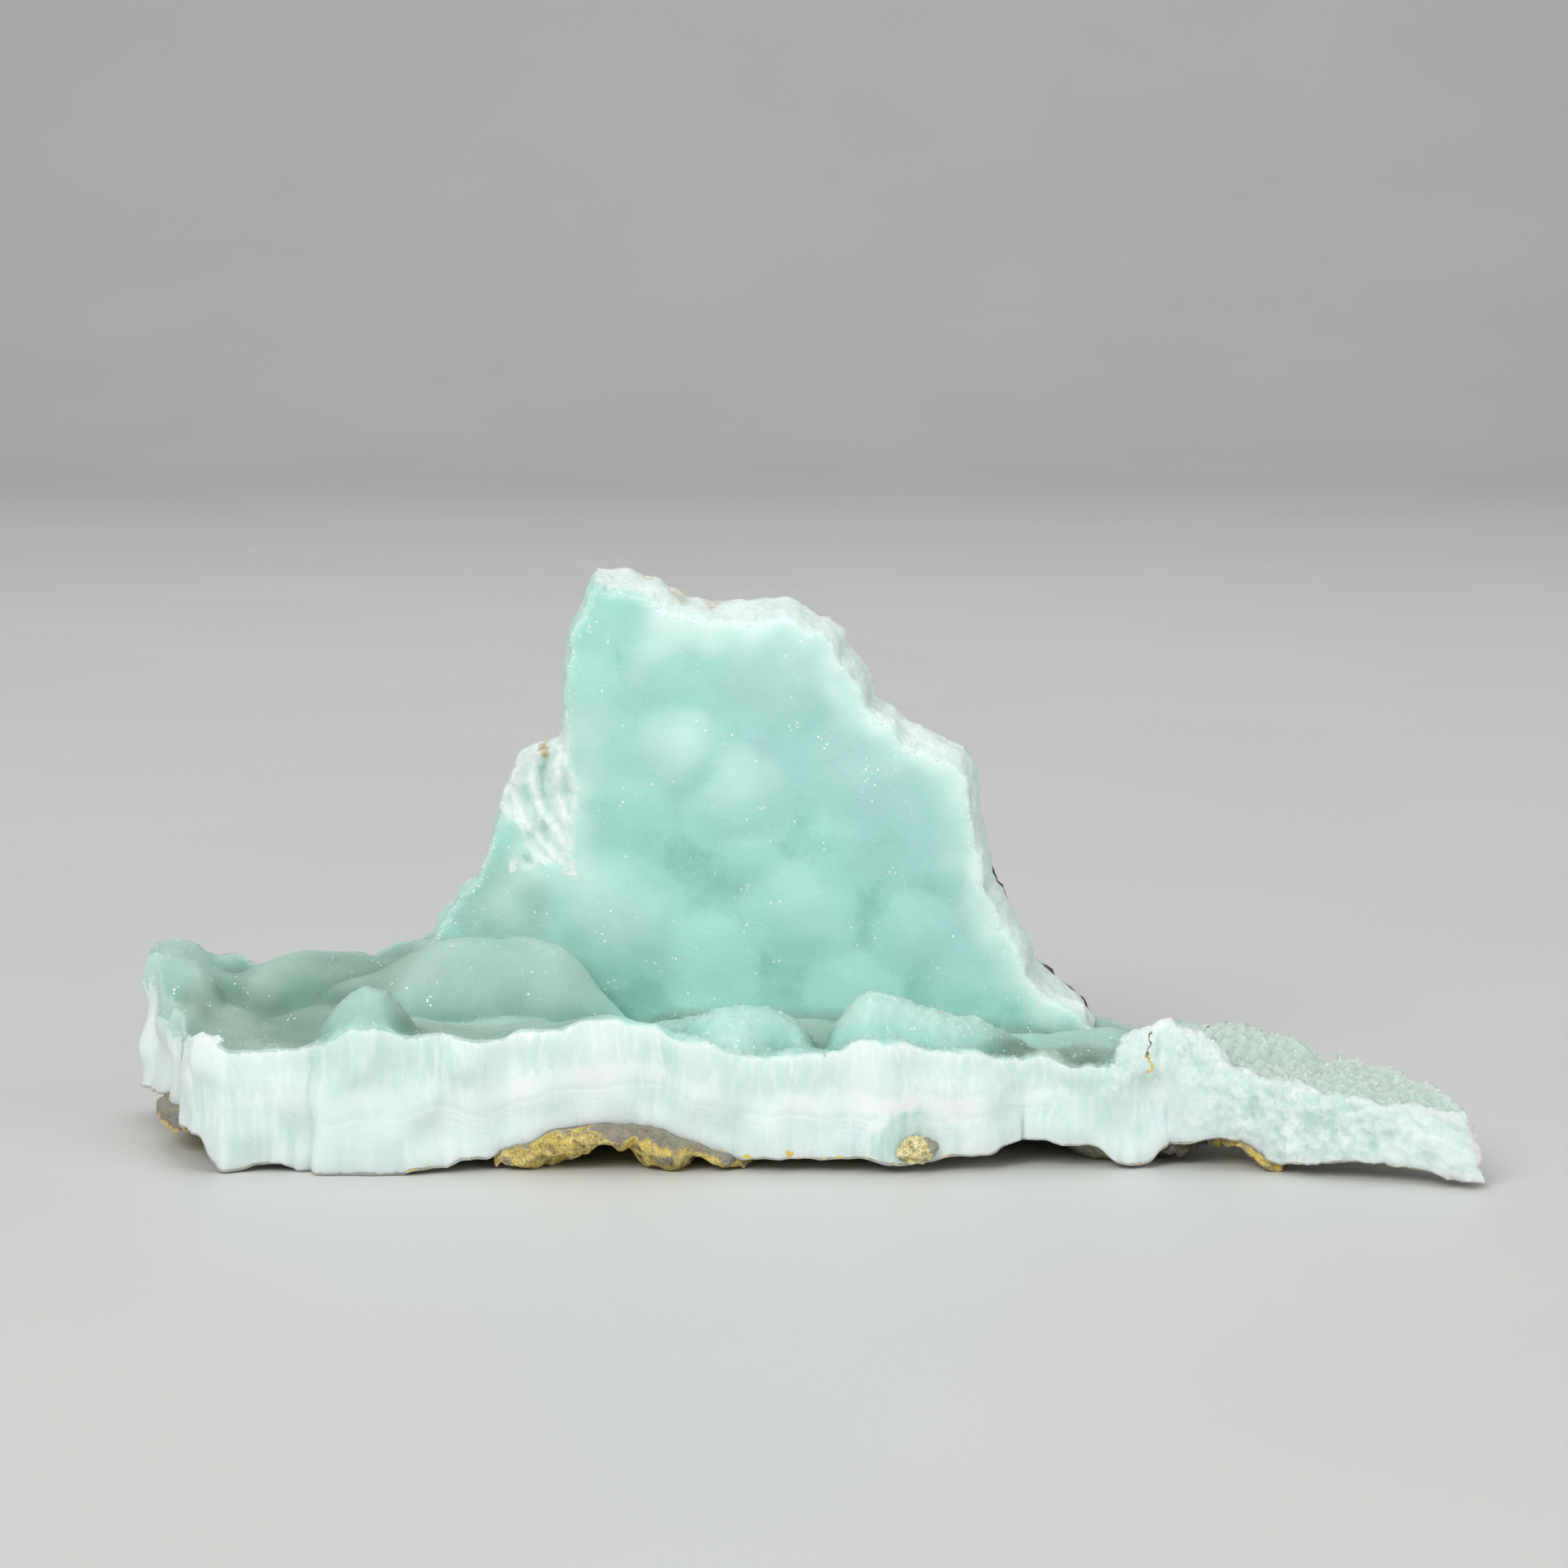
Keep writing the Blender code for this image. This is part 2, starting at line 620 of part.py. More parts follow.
def slab(name, outline, near, far, sizes, rows, to_space, broken=0.0, seed=0):
    """A closed plate over an outline, from the surface near(u, v) through to the surface far(u, v).

    sizes are the steps along the edge, over the near face and over the far face. The edge between the
    two faces is a broken one, which swells by broken times the usual roughness of a fracture.
    """
    run = closed_run(outline, sizes[0])
    far_loop = run[:, :2]
    normal = outward(far_loop)
    amount, size = OUTLINE_SWELL
    places = np.arange(len(far_loop)) * sizes[0]
    far_loop = far_loop + normal * swell(places, places * 0, (amount * broken, size), seed)[:, None]
    near_loop = far_loop - normal * run[:, 2:3]

    near_points, near_faces = fill(near_loop, sizes[1])
    far_points, far_faces = fill(far_loop, sizes[2])
    rings = [(near_loop, near(*near_loop.T))]
    for row in range(1, rows):
        share = row / rows
        ring = near_loop * (1 - share) + far_loop * share
        height = near(*near_loop.T) * (1 - share) + far(*far_loop.T) * share
        relief = swell(places, height, (FRACTURE_SWELL[0] * broken, FRACTURE_SWELL[1]), seed + 1)
        rings.append((ring + normal * relief[:, None], height))
    rings.append((far_loop, far(*far_loop.T)))

    shape = bmesh.new()

    def vertices(points, heights):
        return [shape.verts.new(to_space(p[0], p[1], h)) for p, h in zip(points, heights)]

    ring_verts = [vertices(*ring) for ring in rings]
    count = len(near_loop)
    near_inner, far_inner = near_points[count:], far_points[count:]
    near_verts = ring_verts[0] + vertices(near_inner, near(*near_inner.T))
    far_verts = ring_verts[-1] + vertices(far_inner, far(*far_inner.T))
    for face in near_faces:
        shape.faces.new([near_verts[index] for index in face])
    for face in far_faces:
        shape.faces.new([far_verts[index] for index in reversed(face)])
    for upper, lower in zip(ring_verts, ring_verts[1:]):
        for index in range(count):
            after = (index + 1) % count
            shape.faces.new((upper[index], lower[index], lower[after]))
            shape.faces.new((upper[index], lower[after], upper[after]))
    outside = [vert for vert in shape.verts if not vert.link_faces]
    bmesh.ops.delete(shape, geom=outside, context="VERTS")
    bmesh.ops.recalc_face_normals(shape, faces=shape.faces)
    return finish_mesh(name, shape)


def finish_mesh(name, shape):
    """Puts the shape in the scene, centred, in metres, and ends its bmesh."""
    bmesh.ops.translate(shape, vec=(-BOX_CENTRE[0], -BOX_CENTRE[1], 0), verts=shape.verts)
    bmesh.ops.scale(shape, vec=(MILLIMETRE,) * 3, verts=shape.verts)
    mesh = bpy.data.meshes.new(name)
    shape.to_mesh(mesh)
    shape.free()
    obj = bpy.data.objects.new(name, mesh)
    bpy.context.scene.collection.objects.link(obj)
    return obj


def lying(x, y, height):
    """A plate in plan, whose height is up."""
    return (x, y, height)


def standing(x, z, depth):
    """A plate seen from the front, whose height is its depth."""
    return (x, depth, z)


def helper(obj):
    """Keeps a shape that a Boolean uses out of the render."""
    obj.hide_render = True
    obj.display_type = "WIRE"
    return obj


def boolean(obj, name, operation, other):
    modifier = obj.modifiers.new(name, "BOOLEAN")
    modifier.operation = operation
    modifier.object = other
    modifier.solver = "EXACT"


def nodule(name, radii):
    """A rough pebble of the given radii."""
    shape = bmesh.new()
    bmesh.ops.create_icosphere(shape, subdivisions=3, radius=1.0)
    for vert in shape.verts:
        x, y, z = vert.co
        bump = 1 + swell(2.6 * x + 0.7 * z, 2.6 * y - 1.3 * z, (NODULE_ROUGHNESS, 1.0), 9)
        vert.co = [middle + bump * radius * c for middle, radius, c in zip(NODULE_MIDDLE, radii, (x, y, z))]
    return finish_mesh(name, shape)


def build_crust():
    """The aragonite: the floor with the wall joined to it, and the socket that the nodule sits in."""
    sizes = (EDGE_STEP, GROWTH_SPACING, ATTACHMENT_SPACING)
    crust = slab(
        "aragonite_crust", FLOOR_OUTLINE, floor_top, floor_underside, sizes, FRACTURE_ROWS, lying, 1.0, 11
    )
    wall = slab("wall_shape", WALL_OUTLINE, wall_front, wall_back, sizes, FRACTURE_ROWS, standing, 1.0, 21)
    socket = nodule("nodule_socket", [radius + CLEARANCE for radius in NODULE_RADII])
    boolean(crust, "join wall", "UNION", helper(wall))
    boolean(crust, "nodule socket", "DIFFERENCE", helper(socket))
    crust.data.materials.append(material("aragonite", ARAGONITE))
    return crust


def build_floor_rind(name, outline, thickness, lumps, look, seed):
    """A scrap of rind that clings under the floor, a clearance below it."""

    def against(x, y):
        around = [(a, b) for a in (-1, 0, 1) for b in (-1, 0, 1)]
        lowest = np.min([floor_underside(x + a, y + b) for a, b in around], axis=0)
        return np.maximum(lowest - CLEARANCE, THINNEST_RIND)

    def outside(x, y):
        deep = raise_lumps(np.full_like(x, thickness), lumps, x, y, 0.4)
        return np.maximum(against(x, y) - deep, 0.0)

    sizes = (RIND_STEP, RIND_STEP * 1.2, RIND_STEP)
    rind = slab(name, outline, against, outside, sizes, RIND_ROWS, lying, 0.5, seed)
    rind.data.materials.append(look)
    return rind


def build_back_rind(look):
    """The dark skin on the back of the wall."""

    def against(x, z):
        return wall_back(x, z) + CLEARANCE

    def outside(x, z):
        return against(x, z) + raise_lumps(np.full_like(x, BACK_RIND_THICKNESS), BACK_RIND_LUMPS, x, z, 0.4)

    sizes = (RIND_STEP * 1.4, ATTACHMENT_SPACING, RIND_STEP * 1.5)
    rind = slab(
        "back_rind", BACK_RIND_OUTLINE, against, outside, sizes, RIND_ROWS, standing, 0.5, 61
    )
    rind.data.materials.append(look)
    return rind


def main():
    clear_scene()
    ochre = material("ochre limonite", OCHRE_LIMONITE)
    dark = material("dark rind", DARK_RIND)
    build_crust()
    build_floor_rind("front_rind", FRONT_RIND_OUTLINE, FRONT_RIND_THICKNESS, FRONT_RIND_LUMPS, ochre, 31)
    build_floor_rind("left_rind", LEFT_RIND_OUTLINE, LEFT_RIND_THICKNESS, LEFT_RIND_LUMPS, ochre, 41)
    build_floor_rind("tail_rind", TAIL_RIND_OUTLINE, TAIL_RIND_THICKNESS, TAIL_RIND_LUMPS, ochre, 51)
    build_floor_rind("dark_rind", DARK_RIND_OUTLINE, DARK_RIND_THICKNESS, DARK_RIND_LUMPS, dark, 71)
    build_back_rind(dark)
    nodule("limonite_nodule", NODULE_RADII).data.materials.append(ochre)


main()
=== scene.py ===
"""Blue aragonite specimen: its crystal skin, fibrous broken edges, scraps of rind, and the photo studio.

Shapes are worked out in millimetres, in the axes of the specimen's own outlines. The last step moves
them to the frame's origin and makes metres.
"""

import math

import bmesh
import bpy
import numpy as np
from bpy.props import FloatProperty, FloatVectorProperty, IntProperty, PointerProperty
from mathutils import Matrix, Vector
from mathutils.geometry import delaunay_2d_cdt
from mathutils.kdtree import KDTree


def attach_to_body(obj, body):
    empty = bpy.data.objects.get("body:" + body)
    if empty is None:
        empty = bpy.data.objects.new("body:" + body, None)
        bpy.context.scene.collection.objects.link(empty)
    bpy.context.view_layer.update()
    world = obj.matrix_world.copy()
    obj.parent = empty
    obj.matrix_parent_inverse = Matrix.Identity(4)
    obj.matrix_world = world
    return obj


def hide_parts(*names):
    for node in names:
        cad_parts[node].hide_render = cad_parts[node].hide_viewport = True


bl_info = {
    "name": "Blue aragonite specimen",
    "version": (1, 0, 0),
    "blender": (4, 5, 0),
    "location": "View3D > Sidebar > Aragonite",
    "description": "Builds the crystal skin, the broken edges and the rind of an aragonite specimen",
    "category": "Object",
}

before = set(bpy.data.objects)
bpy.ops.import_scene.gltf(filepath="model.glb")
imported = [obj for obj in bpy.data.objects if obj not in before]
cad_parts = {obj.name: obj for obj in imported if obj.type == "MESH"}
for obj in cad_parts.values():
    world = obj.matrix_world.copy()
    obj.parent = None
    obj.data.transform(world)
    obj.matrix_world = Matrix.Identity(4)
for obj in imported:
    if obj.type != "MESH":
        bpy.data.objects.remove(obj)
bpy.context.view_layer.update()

MILLIMETRE = 0.001
BOX_CENTRE = (0.14, -4.16)
BODY = "root"

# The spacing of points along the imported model's outlines
SOLID_STEP = 1.7

# The floor in plan: x, y, and how far the top edge stands back from the lower edge
FLOOR_OUTLINE = [
    (-48.8, -17.4, 0.3), (-46, -19.5, 0.5), (-42.5, -18.8, 0.6), (-39, -18.6, 0.4), (-38.2, -20.1, 0.8),
    (-33.8, -20.6, 1), (-29.5, -19.6, 0.8), (-24.5, -18.4, 0.4), (-19, -18, 0.2), (-14, -18.3, 0.2),
    (-8, -18.8, 0.4), (-2, -18.8, 0.5), (4, -19.2, 0.6), (9, -19.7, 0.8), (13, -19.1, 0.6),
    (16, -18.2, 0.3), (19.8, -17, 0.2), (24, -17.3, 0.4), (28.5, -17.5, 0.9), (32, -16.8, 0.6),
    (36, -17.3, 0.5), (40.5, -19.6, 1.2), (45, -21.4, 1), (50, -23.4, 0.8), (54, -25, 0.6),
    (56.4, -25.8, 0.9), (56.6, -22.6, 1.2), (54.6, -18.6, 0.6), (52, -15.2, 0.6), (49.5, -12, 0.8),
    (46.5, -9, 0.8), (43.5, -6.4, 0.6), (40, -3.8, 0.6), (36.5, -1, 0.6), (33.5, 3, 0.8), (31, 6, 0.4),
    (27.5, 7.8, -0.4), (22, 7.8, -0.9), (14, 8.4, -1.3), (5, 9.4, -1.5), (-5, 10.5, -1.6),
    (-14, 11.7, -1.5), (-22, 12.7, -1.6), (-29, 13.5, -1.6), (-34.4, 13.8, -1.2), (-38, 11.4, 0.2),
    (-43, 10.6, 0.5), (-48, 10.2, 0.6), (-52, 9.8, 0.6), (-55.4, 7.6, 0.5), (-56, 3.5, 0.3),
    (-54.3, -1, 0.4), (-52.9, -4.5, 0.5), (-53, -7, 0.6), (-51, -10.5, 0.4), (-50.5, -14, 0.3),
]

# Spot heights on top of the floor: x, y, z
FLOOR_SPOTS = [
    (-48, -17.5, 10.6), (-44, -18.5, 9.8), (-41, -18, 10), (-38.5, -18.5, 10.5), (-34, -19.5, 12),
    (-29.5, -19, 11.3), (-24.5, -18, 10.9), (-20.5, -17.8, 11.8), (-15, -18, 12.7), (-11.5, -18, 12),
    (-8, -18, 10.6), (-3, -18.3, 9.3), (2, -18.5, 9.6), (8, -19, 10.6), (14, -18, 9.8), (19.5, -17, 9),
    (25, -17, 8.2), (31, -16.5, 9.6), (37, -17, 7.7), (41.6, -19.2, 7.5), (44, -20.5, 6.4),
    (50, -22.8, 6.3), (53, -24, 5.9), (56.2, -25, 4.6), (-47, -12, 9.6), (-41, -12, 9.3), (-36, -12, 10),
    (-30, -13, 10.5), (-24, -13, 10.2), (-17, -13, 10.6), (-11, -13, 9.6), (-4, -12, 8.8), (4, -10, 8.4),
    (11, -10, 8.4), (18, -12, 8.2), (24, -12, 7.6), (29, -11, 7.9), (35, -12, 8.2), (38, -13, 7.3),
    (42, -14.5, 6.4), (45.5, -17, 5.6), (50, -20, 5.2), (54, -22.4, 5), (56.5, -23, 4.4), (-52, -5, 11.6),
    (-46.5, -5, 9.8), (-40, -5, 9.9), (-34, -6, 10.3), (-25, -7, 10.2), (-14, -6, 9.6), (-8, -4, 8.9),
    (0, -3, 8.6), (10, -4, 8.2), (18, -4, 7.9), (24, -4, 7.6), (30, -5, 7.9), (35, -7, 8.8), (40, -8, 9),
    (44, -11, 7.6), (48, -14, 6.3), (52, -18, 5.6), (-55, 5, 14.4), (-53, 8, 14.9), (-50, 8.5, 13.9),
    (-46.6, 7, 12.4), (-43, 8.5, 13.6), (-38, 9, 13.9), (-35.5, 9, 13.2), (-31, 11, 15), (-24, 7, 11.5),
    (-14.6, 3.2, 7.4), (-8, 3.6, 8.6), (5, 3, 8.6), (18, 3, 8.2), (25, 5, 8), (30, 5, 8), (35, -1, 9),
    (40, -4.5, 9.3), (45, -8.5, 7.2), (50, -13, 6.1),
]
FLOOR_REACH = 1.6
UNDERSIDE_REACH = 2.0

# Broad soft mounds on the floor: x, y, two radii, turn in degrees, foot height and crown height
FLOOR_MOUNDS = [
    (-53.4, 3.6, 6.6, 9.8, 8, 8, 15), (-42.6, 5.6, 9.6, 6, 50, 7.5, 14.4),
    (-48.5, -2, 8.5, 8.5, 0, 8.5, 11.2), (-38.5, -3.2, 8.5, 4.6, 30, 8, 11.2),
    (-27.5, 1.4, 13.5, 6.5, 2, 7, 16.4), (-22.1, 2.4, 6.3, 5.5, 0, 8, 16.2),
    (-34.4, -16.6, 4.8, 4.6, 0, 9, 12.7), (-34.2, -16, 3.8, 3.8, 0, 10.6, 14.9),
    (-16, -15.5, 6.5, 4.2, 0, 9, 12.6), (21.4, -15.8, 2.8, 2.4, 0, 7, 9.5),
    (24.6, -12.5, 3.6, 3, 0, 6.5, 8.8),
]

# Rounder lumps on the floor, in the same terms
FLOOR_LUMPS = [
    (26.5, -3, 5, 5.5, 0, 6.5, 8.9), (15, -3, 6, 4.5, 0, 6.5, 9.1), (2, -1.5, 5.5, 4, 0, 6.5, 9.6),
    (37.6, -7, 5.6, 4.2, -32, 5.5, 10.1), (42.4, -8.6, 4.6, 3.2, -38, 5, 9),
    (46.6, -12.2, 4.4, 2.9, -42, 4.5, 7.5), (51, -16.4, 4.4, 2.4, -44, 4, 6.4),
]
LUMP_FILLET = 0.7

# Lumps with a long uneven crest, and the knob: the crest's y, half of its width, how blunt it is across,
# and x and z along it
FLOOR_FOOT = 7.0
FLOOR_CRESTS = [
    (-12.8, 5.6, 2.2, [
        (-15.5, 8.0), (-13.0, 10.2), (-11.3, 11.1), (-8.3, 11.5), (-7.3, 11.9), (-5.4, 12.5), (-3.4, 12.7),
        (-1.6, 12.5), (-0.4, 12.0), (1.1, 11.2), (1.8, 10.5), (2.8, 9.2), (3.3, 7.5),
    ]),
    (-12.2, 5.8, 2.2, [
        (3.0, 7.5), (3.5, 9.4), (4.0, 10.6), (5.0, 11.9), (6.0, 13.1), (7.0, 13.5), (8.7, 13.3),
        (10.6, 12.9), (12.4, 12.4), (13.4, 11.9), (14.9, 11.4), (16.3, 11.2), (17.3, 10.6), (18.6, 10.0),
        (19.8, 9.4), (21.0, 8.8), (23.5, 7.5),
    ]),
    (-15.4, 4.4, 1.3, [
        (25.6, 7.0), (26.6, 8.9), (27.2, 9.5), (27.7, 10.3), (29.2, 11.0), (30.6, 11.4), (31.3, 12.1),
        (31.9, 12.0), (32.5, 11.5), (33.7, 11.0), (35.6, 9.9), (36.5, 8.9), (38.0, 7.4),
    ]),
]

# Spot heights under the floor: x, y, z
UNDERSIDE_SPOTS = [
    (-48.8, -17, 3.1), (-45.8, -19.5, 0), (-42, -18.5, 0.4), (-38.2, -19.5, -0.6), (-33.7, -19.6, -0.9),
    (-29.8, -19.3, 0.3), (-24.5, -18.4, 0.7), (-21.6, -18, 1.7), (-18.5, -18, 3), (-15.2, -18, 3.4),
    (-11, -18.2, 3.2), (-7.7, -18.5, 2.6), (-5.5, -18.7, 1.7), (-2.5, -18.8, 0.8), (5, -19, 0.8),
    (10, -19.3, 0.5), (15.6, -18.2, 1.1), (19.8, -17, 2.1), (24.9, -17.2, 1.4), (28.5, -17.4, 0.3),
    (32.5, -16.5, 1.9), (37, -17.6, 2), (40.7, -19.5, 0.8), (44.5, -21.2, 1.1), (49, -22.8, 0.9),
    (56.5, -25.6, 0.6), (-55.5, 5, 3), (-53, -3, 3.4), (-50, -10, 3.2), (-46, -8, 1.8), (-47, 4, 2.2),
    (-40, -8, 1.2), (-38, 6, 0.9), (-30, -8, 1.6), (-28, 8, -1.2), (-26, 12, -0.8), (-18, -8, 2.4),
    (-12, 0, 2.2), (-8, 9, 1), (0, -10, 2.2), (4, 0, 2), (10, -10, 1.8), (14, 6, 0.2), (20, -6, 1.2),
    (21, 4.6, -1.2), (28.6, -12.6, -0.9), (30, 4, 1.5), (36, -6, 2.4), (43, -10, 2.4), (50, -16, 1.9),
    (56, -22, 1.1),
]

# The standing wall seen from the front: x, z, and how far the front edge stands inside the back edge
WALL_OUTLINE = [
    (22, 4.6, 0), (27.2, 6.4, 0.4), (27.6, 8.6, 0.9), (25.8, 10.5, 1.8), (24, 12, 2.2), (22.2, 13.8, 2.3),
    (20.8, 16.3, 2.3), (19.7, 18.8, 2.2), (18.7, 21.3, 2.1), (17.4, 26.3, 1.9), (16.9, 30.4, 2.1),
    (15.8, 32, 2.5), (12.6, 33.6, 2.6), (8.9, 35.7, 2.2), (7.9, 38.1, 2.2), (5.7, 40.8, 2.2),
    (5.2, 42.1, 2.3), (3.9, 43.1, 2.4), (1.4, 44.6, 2.7), (-0.1, 45, 2.7), (-2.6, 44.7, 2.4),
    (-6.2, 44.6, 2.3), (-8.4, 45.3, 2.5), (-12.1, 46.8, 2.8), (-15, 47.5, 2.9), (-16.7, 47.7, 2.4),
    (-17.3, 46, 0.9), (-17.8, 43.8, 0.5), (-18.9, 42.1, 0.4), (-19.5, 39.2, 0.4), (-19.7, 36.3, 0.4),
    (-19.6, 32.6, 0.4), (-22.2, 31.9, 0.3), (-23.6, 30.5, 0.3), (-25.1, 28.2, 0.3), (-25.6, 26.1, 0.3),
    (-26.7, 22.6, 0.4), (-27.3, 20.9, 0.5), (-28.6, 19.5, 0.6), (-29.5, 18, 0.6), (-31.1, 15.6, 0.6),
    (-32.4, 14.4, 0.6), (-33.4, 11, 0.4), (-32, 4.6, 0),
]

# The wall's front: its depth at one point, how it leans back, how it turns, and its thickness
WALL_FOOT = (2.0, 9.5)
WALL_FOOT_DEPTH = 3.6
WALL_LEAN = 0.10
WALL_TURN = -0.12
WALL_THICKNESS = 7.6

# Lumps on the wall's front: x, z, two radii, turn in degrees, foot and crown towards the viewer
WALL_LUMPS = [
    (-4.2, 27.8, 5.2, 5.2, 0, -2, 2.1), (-9.2, 31.8, 4.6, 4.4, 0, -2, 2), (-15, 17, 7.2, 6.8, 0, -2, 1.9),
    (-6.8, 13.8, 5.6, 4.8, 0, -1.8, 1.5), (1.6, 18.2, 5.6, 5, -20, -1.8, 1.7),
    (-3.2, 22.6, 3.4, 2.8, 0, -1, 1.1), (11.4, 16.4, 4.2, 4.2, 0, -1.4, 1.3),
    (6, 11.6, 4.8, 4, 0, -1.4, 1.3), (16.4, 12.2, 4.4, 4.4, 0, -1.4, 1.2),
    (-11.6, 39.6, 3, 2.8, 0, -1, 0.9), (-17.4, 37.4, 3.2, 4.2, 0, -1.2, 1),
    (-16.4, 43.2, 2.2, 2.6, 0, -0.8, 0.6), (-0.6, 38.6, 5.6, 4.4, 10, -1.3, 0.8),
    (6.2, 30.4, 5.4, 5, 0, -1.4, 0.9), (12.2, 25, 4.6, 5.4, 0, -1.3, 0.8),
    (-14.4, 26.4, 5.2, 5.6, 0, -1.4, 0.9), (-15.6, 32.6, 3.4, 3.6, 0, -1.2, 0.8),
    (5.2, 23.4, 4, 4.2, 0, -1.2, 0.8), (-23.6, 16.4, 4.6, 4.6, 0, -2, 1), (-21, 19.4, 3, 3.4, 0, -1.2, 0.6),
    (-28.2, 15, 3.4, 3.6, 0, -2, 0.2),
]
WALL_FILLET = 1.2
WALL_RELIEF = 0.45
WALL_SET_BACK = 0.6

# The chip out of the wall's left shoulder: its lower right corner, the slope of its lower edge, how wide
# that edge is and the slope beyond it, the height where its blades bend, its depth for each millimetre
# in from its edges, its greatest depth, and the scoops that the break left
CHIP_CORNER = (-18.4, 21.2)
CHIP_LOWER_SLOPE = 0.15
CHIP_WIDTH = 4.2
CHIP_LEFT_SLOPE = 4.0
CHIP_BEND = 29.5
CHIP_STEEPNESS = 1.05
CHIP_DEPTH = 5.6
CHIP_TOP = 33.4
SCOOP_DEPTH = 1.2
SCOOP_WIDTH = 1.9

# Roughness: how far a surface swells, and the size of its swells
GROWTH_SWELL = (0.22, 4.0)
ATTACHMENT_SWELL = (0.5, 6.0)
FRACTURE_SWELL = (0.55, 3.2)
OUTLINE_SWELL = (0.3, 2.6)
LUMP_WARP = (1.3, 5.5)
LUMP_FOLDS = (0.45, 4.5)
CREST_WANDER = (0.8, 4.5)
KNOB_WANDER = (0.25, 1.4)
MOUND_WARP = (0.5, 4.5)
DISC_WARP = (0.6, 3.0)
CHIP_WANDERS = [(0.9, 2.6), (0.35, 0.9)]
BLADE_WANDER = (0.25, 2.4)
BLADE_SPLINTERS = (0.30, 0.7)
VELVET_SWELLS = [(0.07, 2.1), (0.03, 0.9)]
TAIL_TIPS = (0.6, 0.85)
FINE_TIPS = (0.34, 0.85)
BREAK_TIPS = (0.55, 0.9)
SUGAR_TIPS = (0.6, 1.2)
FINE_SUGAR_TIPS = (0.35, 0.7)
RIM_TIPS = (0.22, 0.6)
RIM_SWELL = (0.12, 0.6)
RIM_RIDGES = (0.2, 1.6)
LIP_SWELL = (0.10, 0.9)
LIP_RIDGES = (0.10, 0.5)
BROAD_COLUMNS = (0.55, 5.2)
COLUMN_RIDGES = (0.22, 1.6)
FIBRE_RIDGES = (0.05, 0.6)
LEDGE_SWELL = (0.08, 1.2)
ATTACHMENT_LUMPS = [(0.22, 2.2), (0.12, 0.9)]
RIND_EDGE_SWELL = (0.3, 1.3)
RIND_EDGE_RIDGES = (0.25, 0.6)
RIND_SWELL = (0.4, 1.5)
RIND_RIDGES = (0.45, 0.8)
BACK_RIND_SWELL = (0.35, 1.7)
BACK_RIND_RIDGES = (0.4, 0.9)

# The knob's top, and the folds that run out from it
KNOB_TOP = (31.3, -15.2)
KNOB_FOLDS = 11
KNOB_FOLD_DEPTH = 0.22

# Pleats down the left end, and cracks in the front break: x, depth, and where they start below the lip
PLEAT_RIDGES = (1.7, 3.2)
CRACKS = [(19.9, 0.55, 0.30), (31.9, 0.35, 0.6)]
CRACK_WIDTH = 0.16
CRACK_WANDER = (0.3, 1.6)

# How far round a point its surroundings count when its colour is chosen
CROWN_REACH = 2.5

# Crystal tips: the number of their sides, and the stretch over which the slope under them is measured
TIP_SIDES = 5
SLOPE_REACH = 0.3

# Where the growth surface is broken off, on the floor: x, y, radius, strength
FLOOR_BREAKS = [
    (30.6, -17.4, 3.6, 1), (32.2, -15.8, 2.6, 1), (34.8, -16.6, 2.2, 1), (-47.6, -17.2, 1.5, 1),
    (37.5, -18, 2, 1), (42.5, -20.2, 1.7, 1), (47, -21.9, 1.5, 1), (51.5, -23.4, 1.4, 1),
    (55.4, -24.2, 2, 1),
]

# Where coarse crystals stand on the floor: x, y, radius, how coarse
COARSE_PATCHES = [
    (39, -8, 6, 1), (45, -12, 5.5, 1), (51, -17, 5, 1), (35.5, -13.5, 4, 0.85), (34.6, -9, 3.6, 0.75),
    (36.2, -3.6, 4.2, 0.75), (41, -16.5, 4.2, 0.9), (46.5, -19, 4.2, 0.9), (52, -21, 4, 0.8),
]

# Where finer crystals make the floor grainy, in the same terms
GRAINY_PATCHES = [
    (-4, -12.8, 8.5, 1), (9, -12.4, 9, 1), (17, -13, 7.5, 1), (25, -12, 6.5, 1), (33, -12, 6, 1),
    (-34.2, -16.6, 5, 0.6), (-46, -14, 6, 0.6), (-53.4, 3.6, 9, 0.5), (-24, -2, 9, 0.35),
]

# Grey-green film on the floor: x, y, radius, strength
FILM_PATCHES = [
    (-52, 3, 8.5, 0.62), (-36.5, 1.5, 7, 0.85), (-38.5, -5, 6, 0.95), (-36, 9, 6, 0.75),
    (-44, -12.5, 9.5, 0.90), (-28, -13, 8, 0.90), (-34, -16, 4.5, 0.50), (-44.5, 3, 7, 0.80),
    (-46, -5, 8, 0.90), (-20, -12, 8, 0.80), (-26, 1, 12, 0.60), (-10, -8, 8, 0.85), (2, -6, 9, 0.85),
    (14, -6, 9, 0.80), (23, -12, 7, 1), (28, -2, 7, 0.60), (7, -13, 16, 0.35),
]

# The same on the wall: x, z, radius, strength
WALL_FILMS = [
    (-15, 13, 6, 0.18), (-25, 18, 5, 0.30),
]

# Bluish haze on the wall, in the same terms
WALL_HAZES = [
    (3, 36.5, 9, 0.50), (12, 27, 7.5, 0.50), (15, 16, 6, 0.40), (-2, 13, 5, 0.15), (-15, 33, 5, 0.20),
]

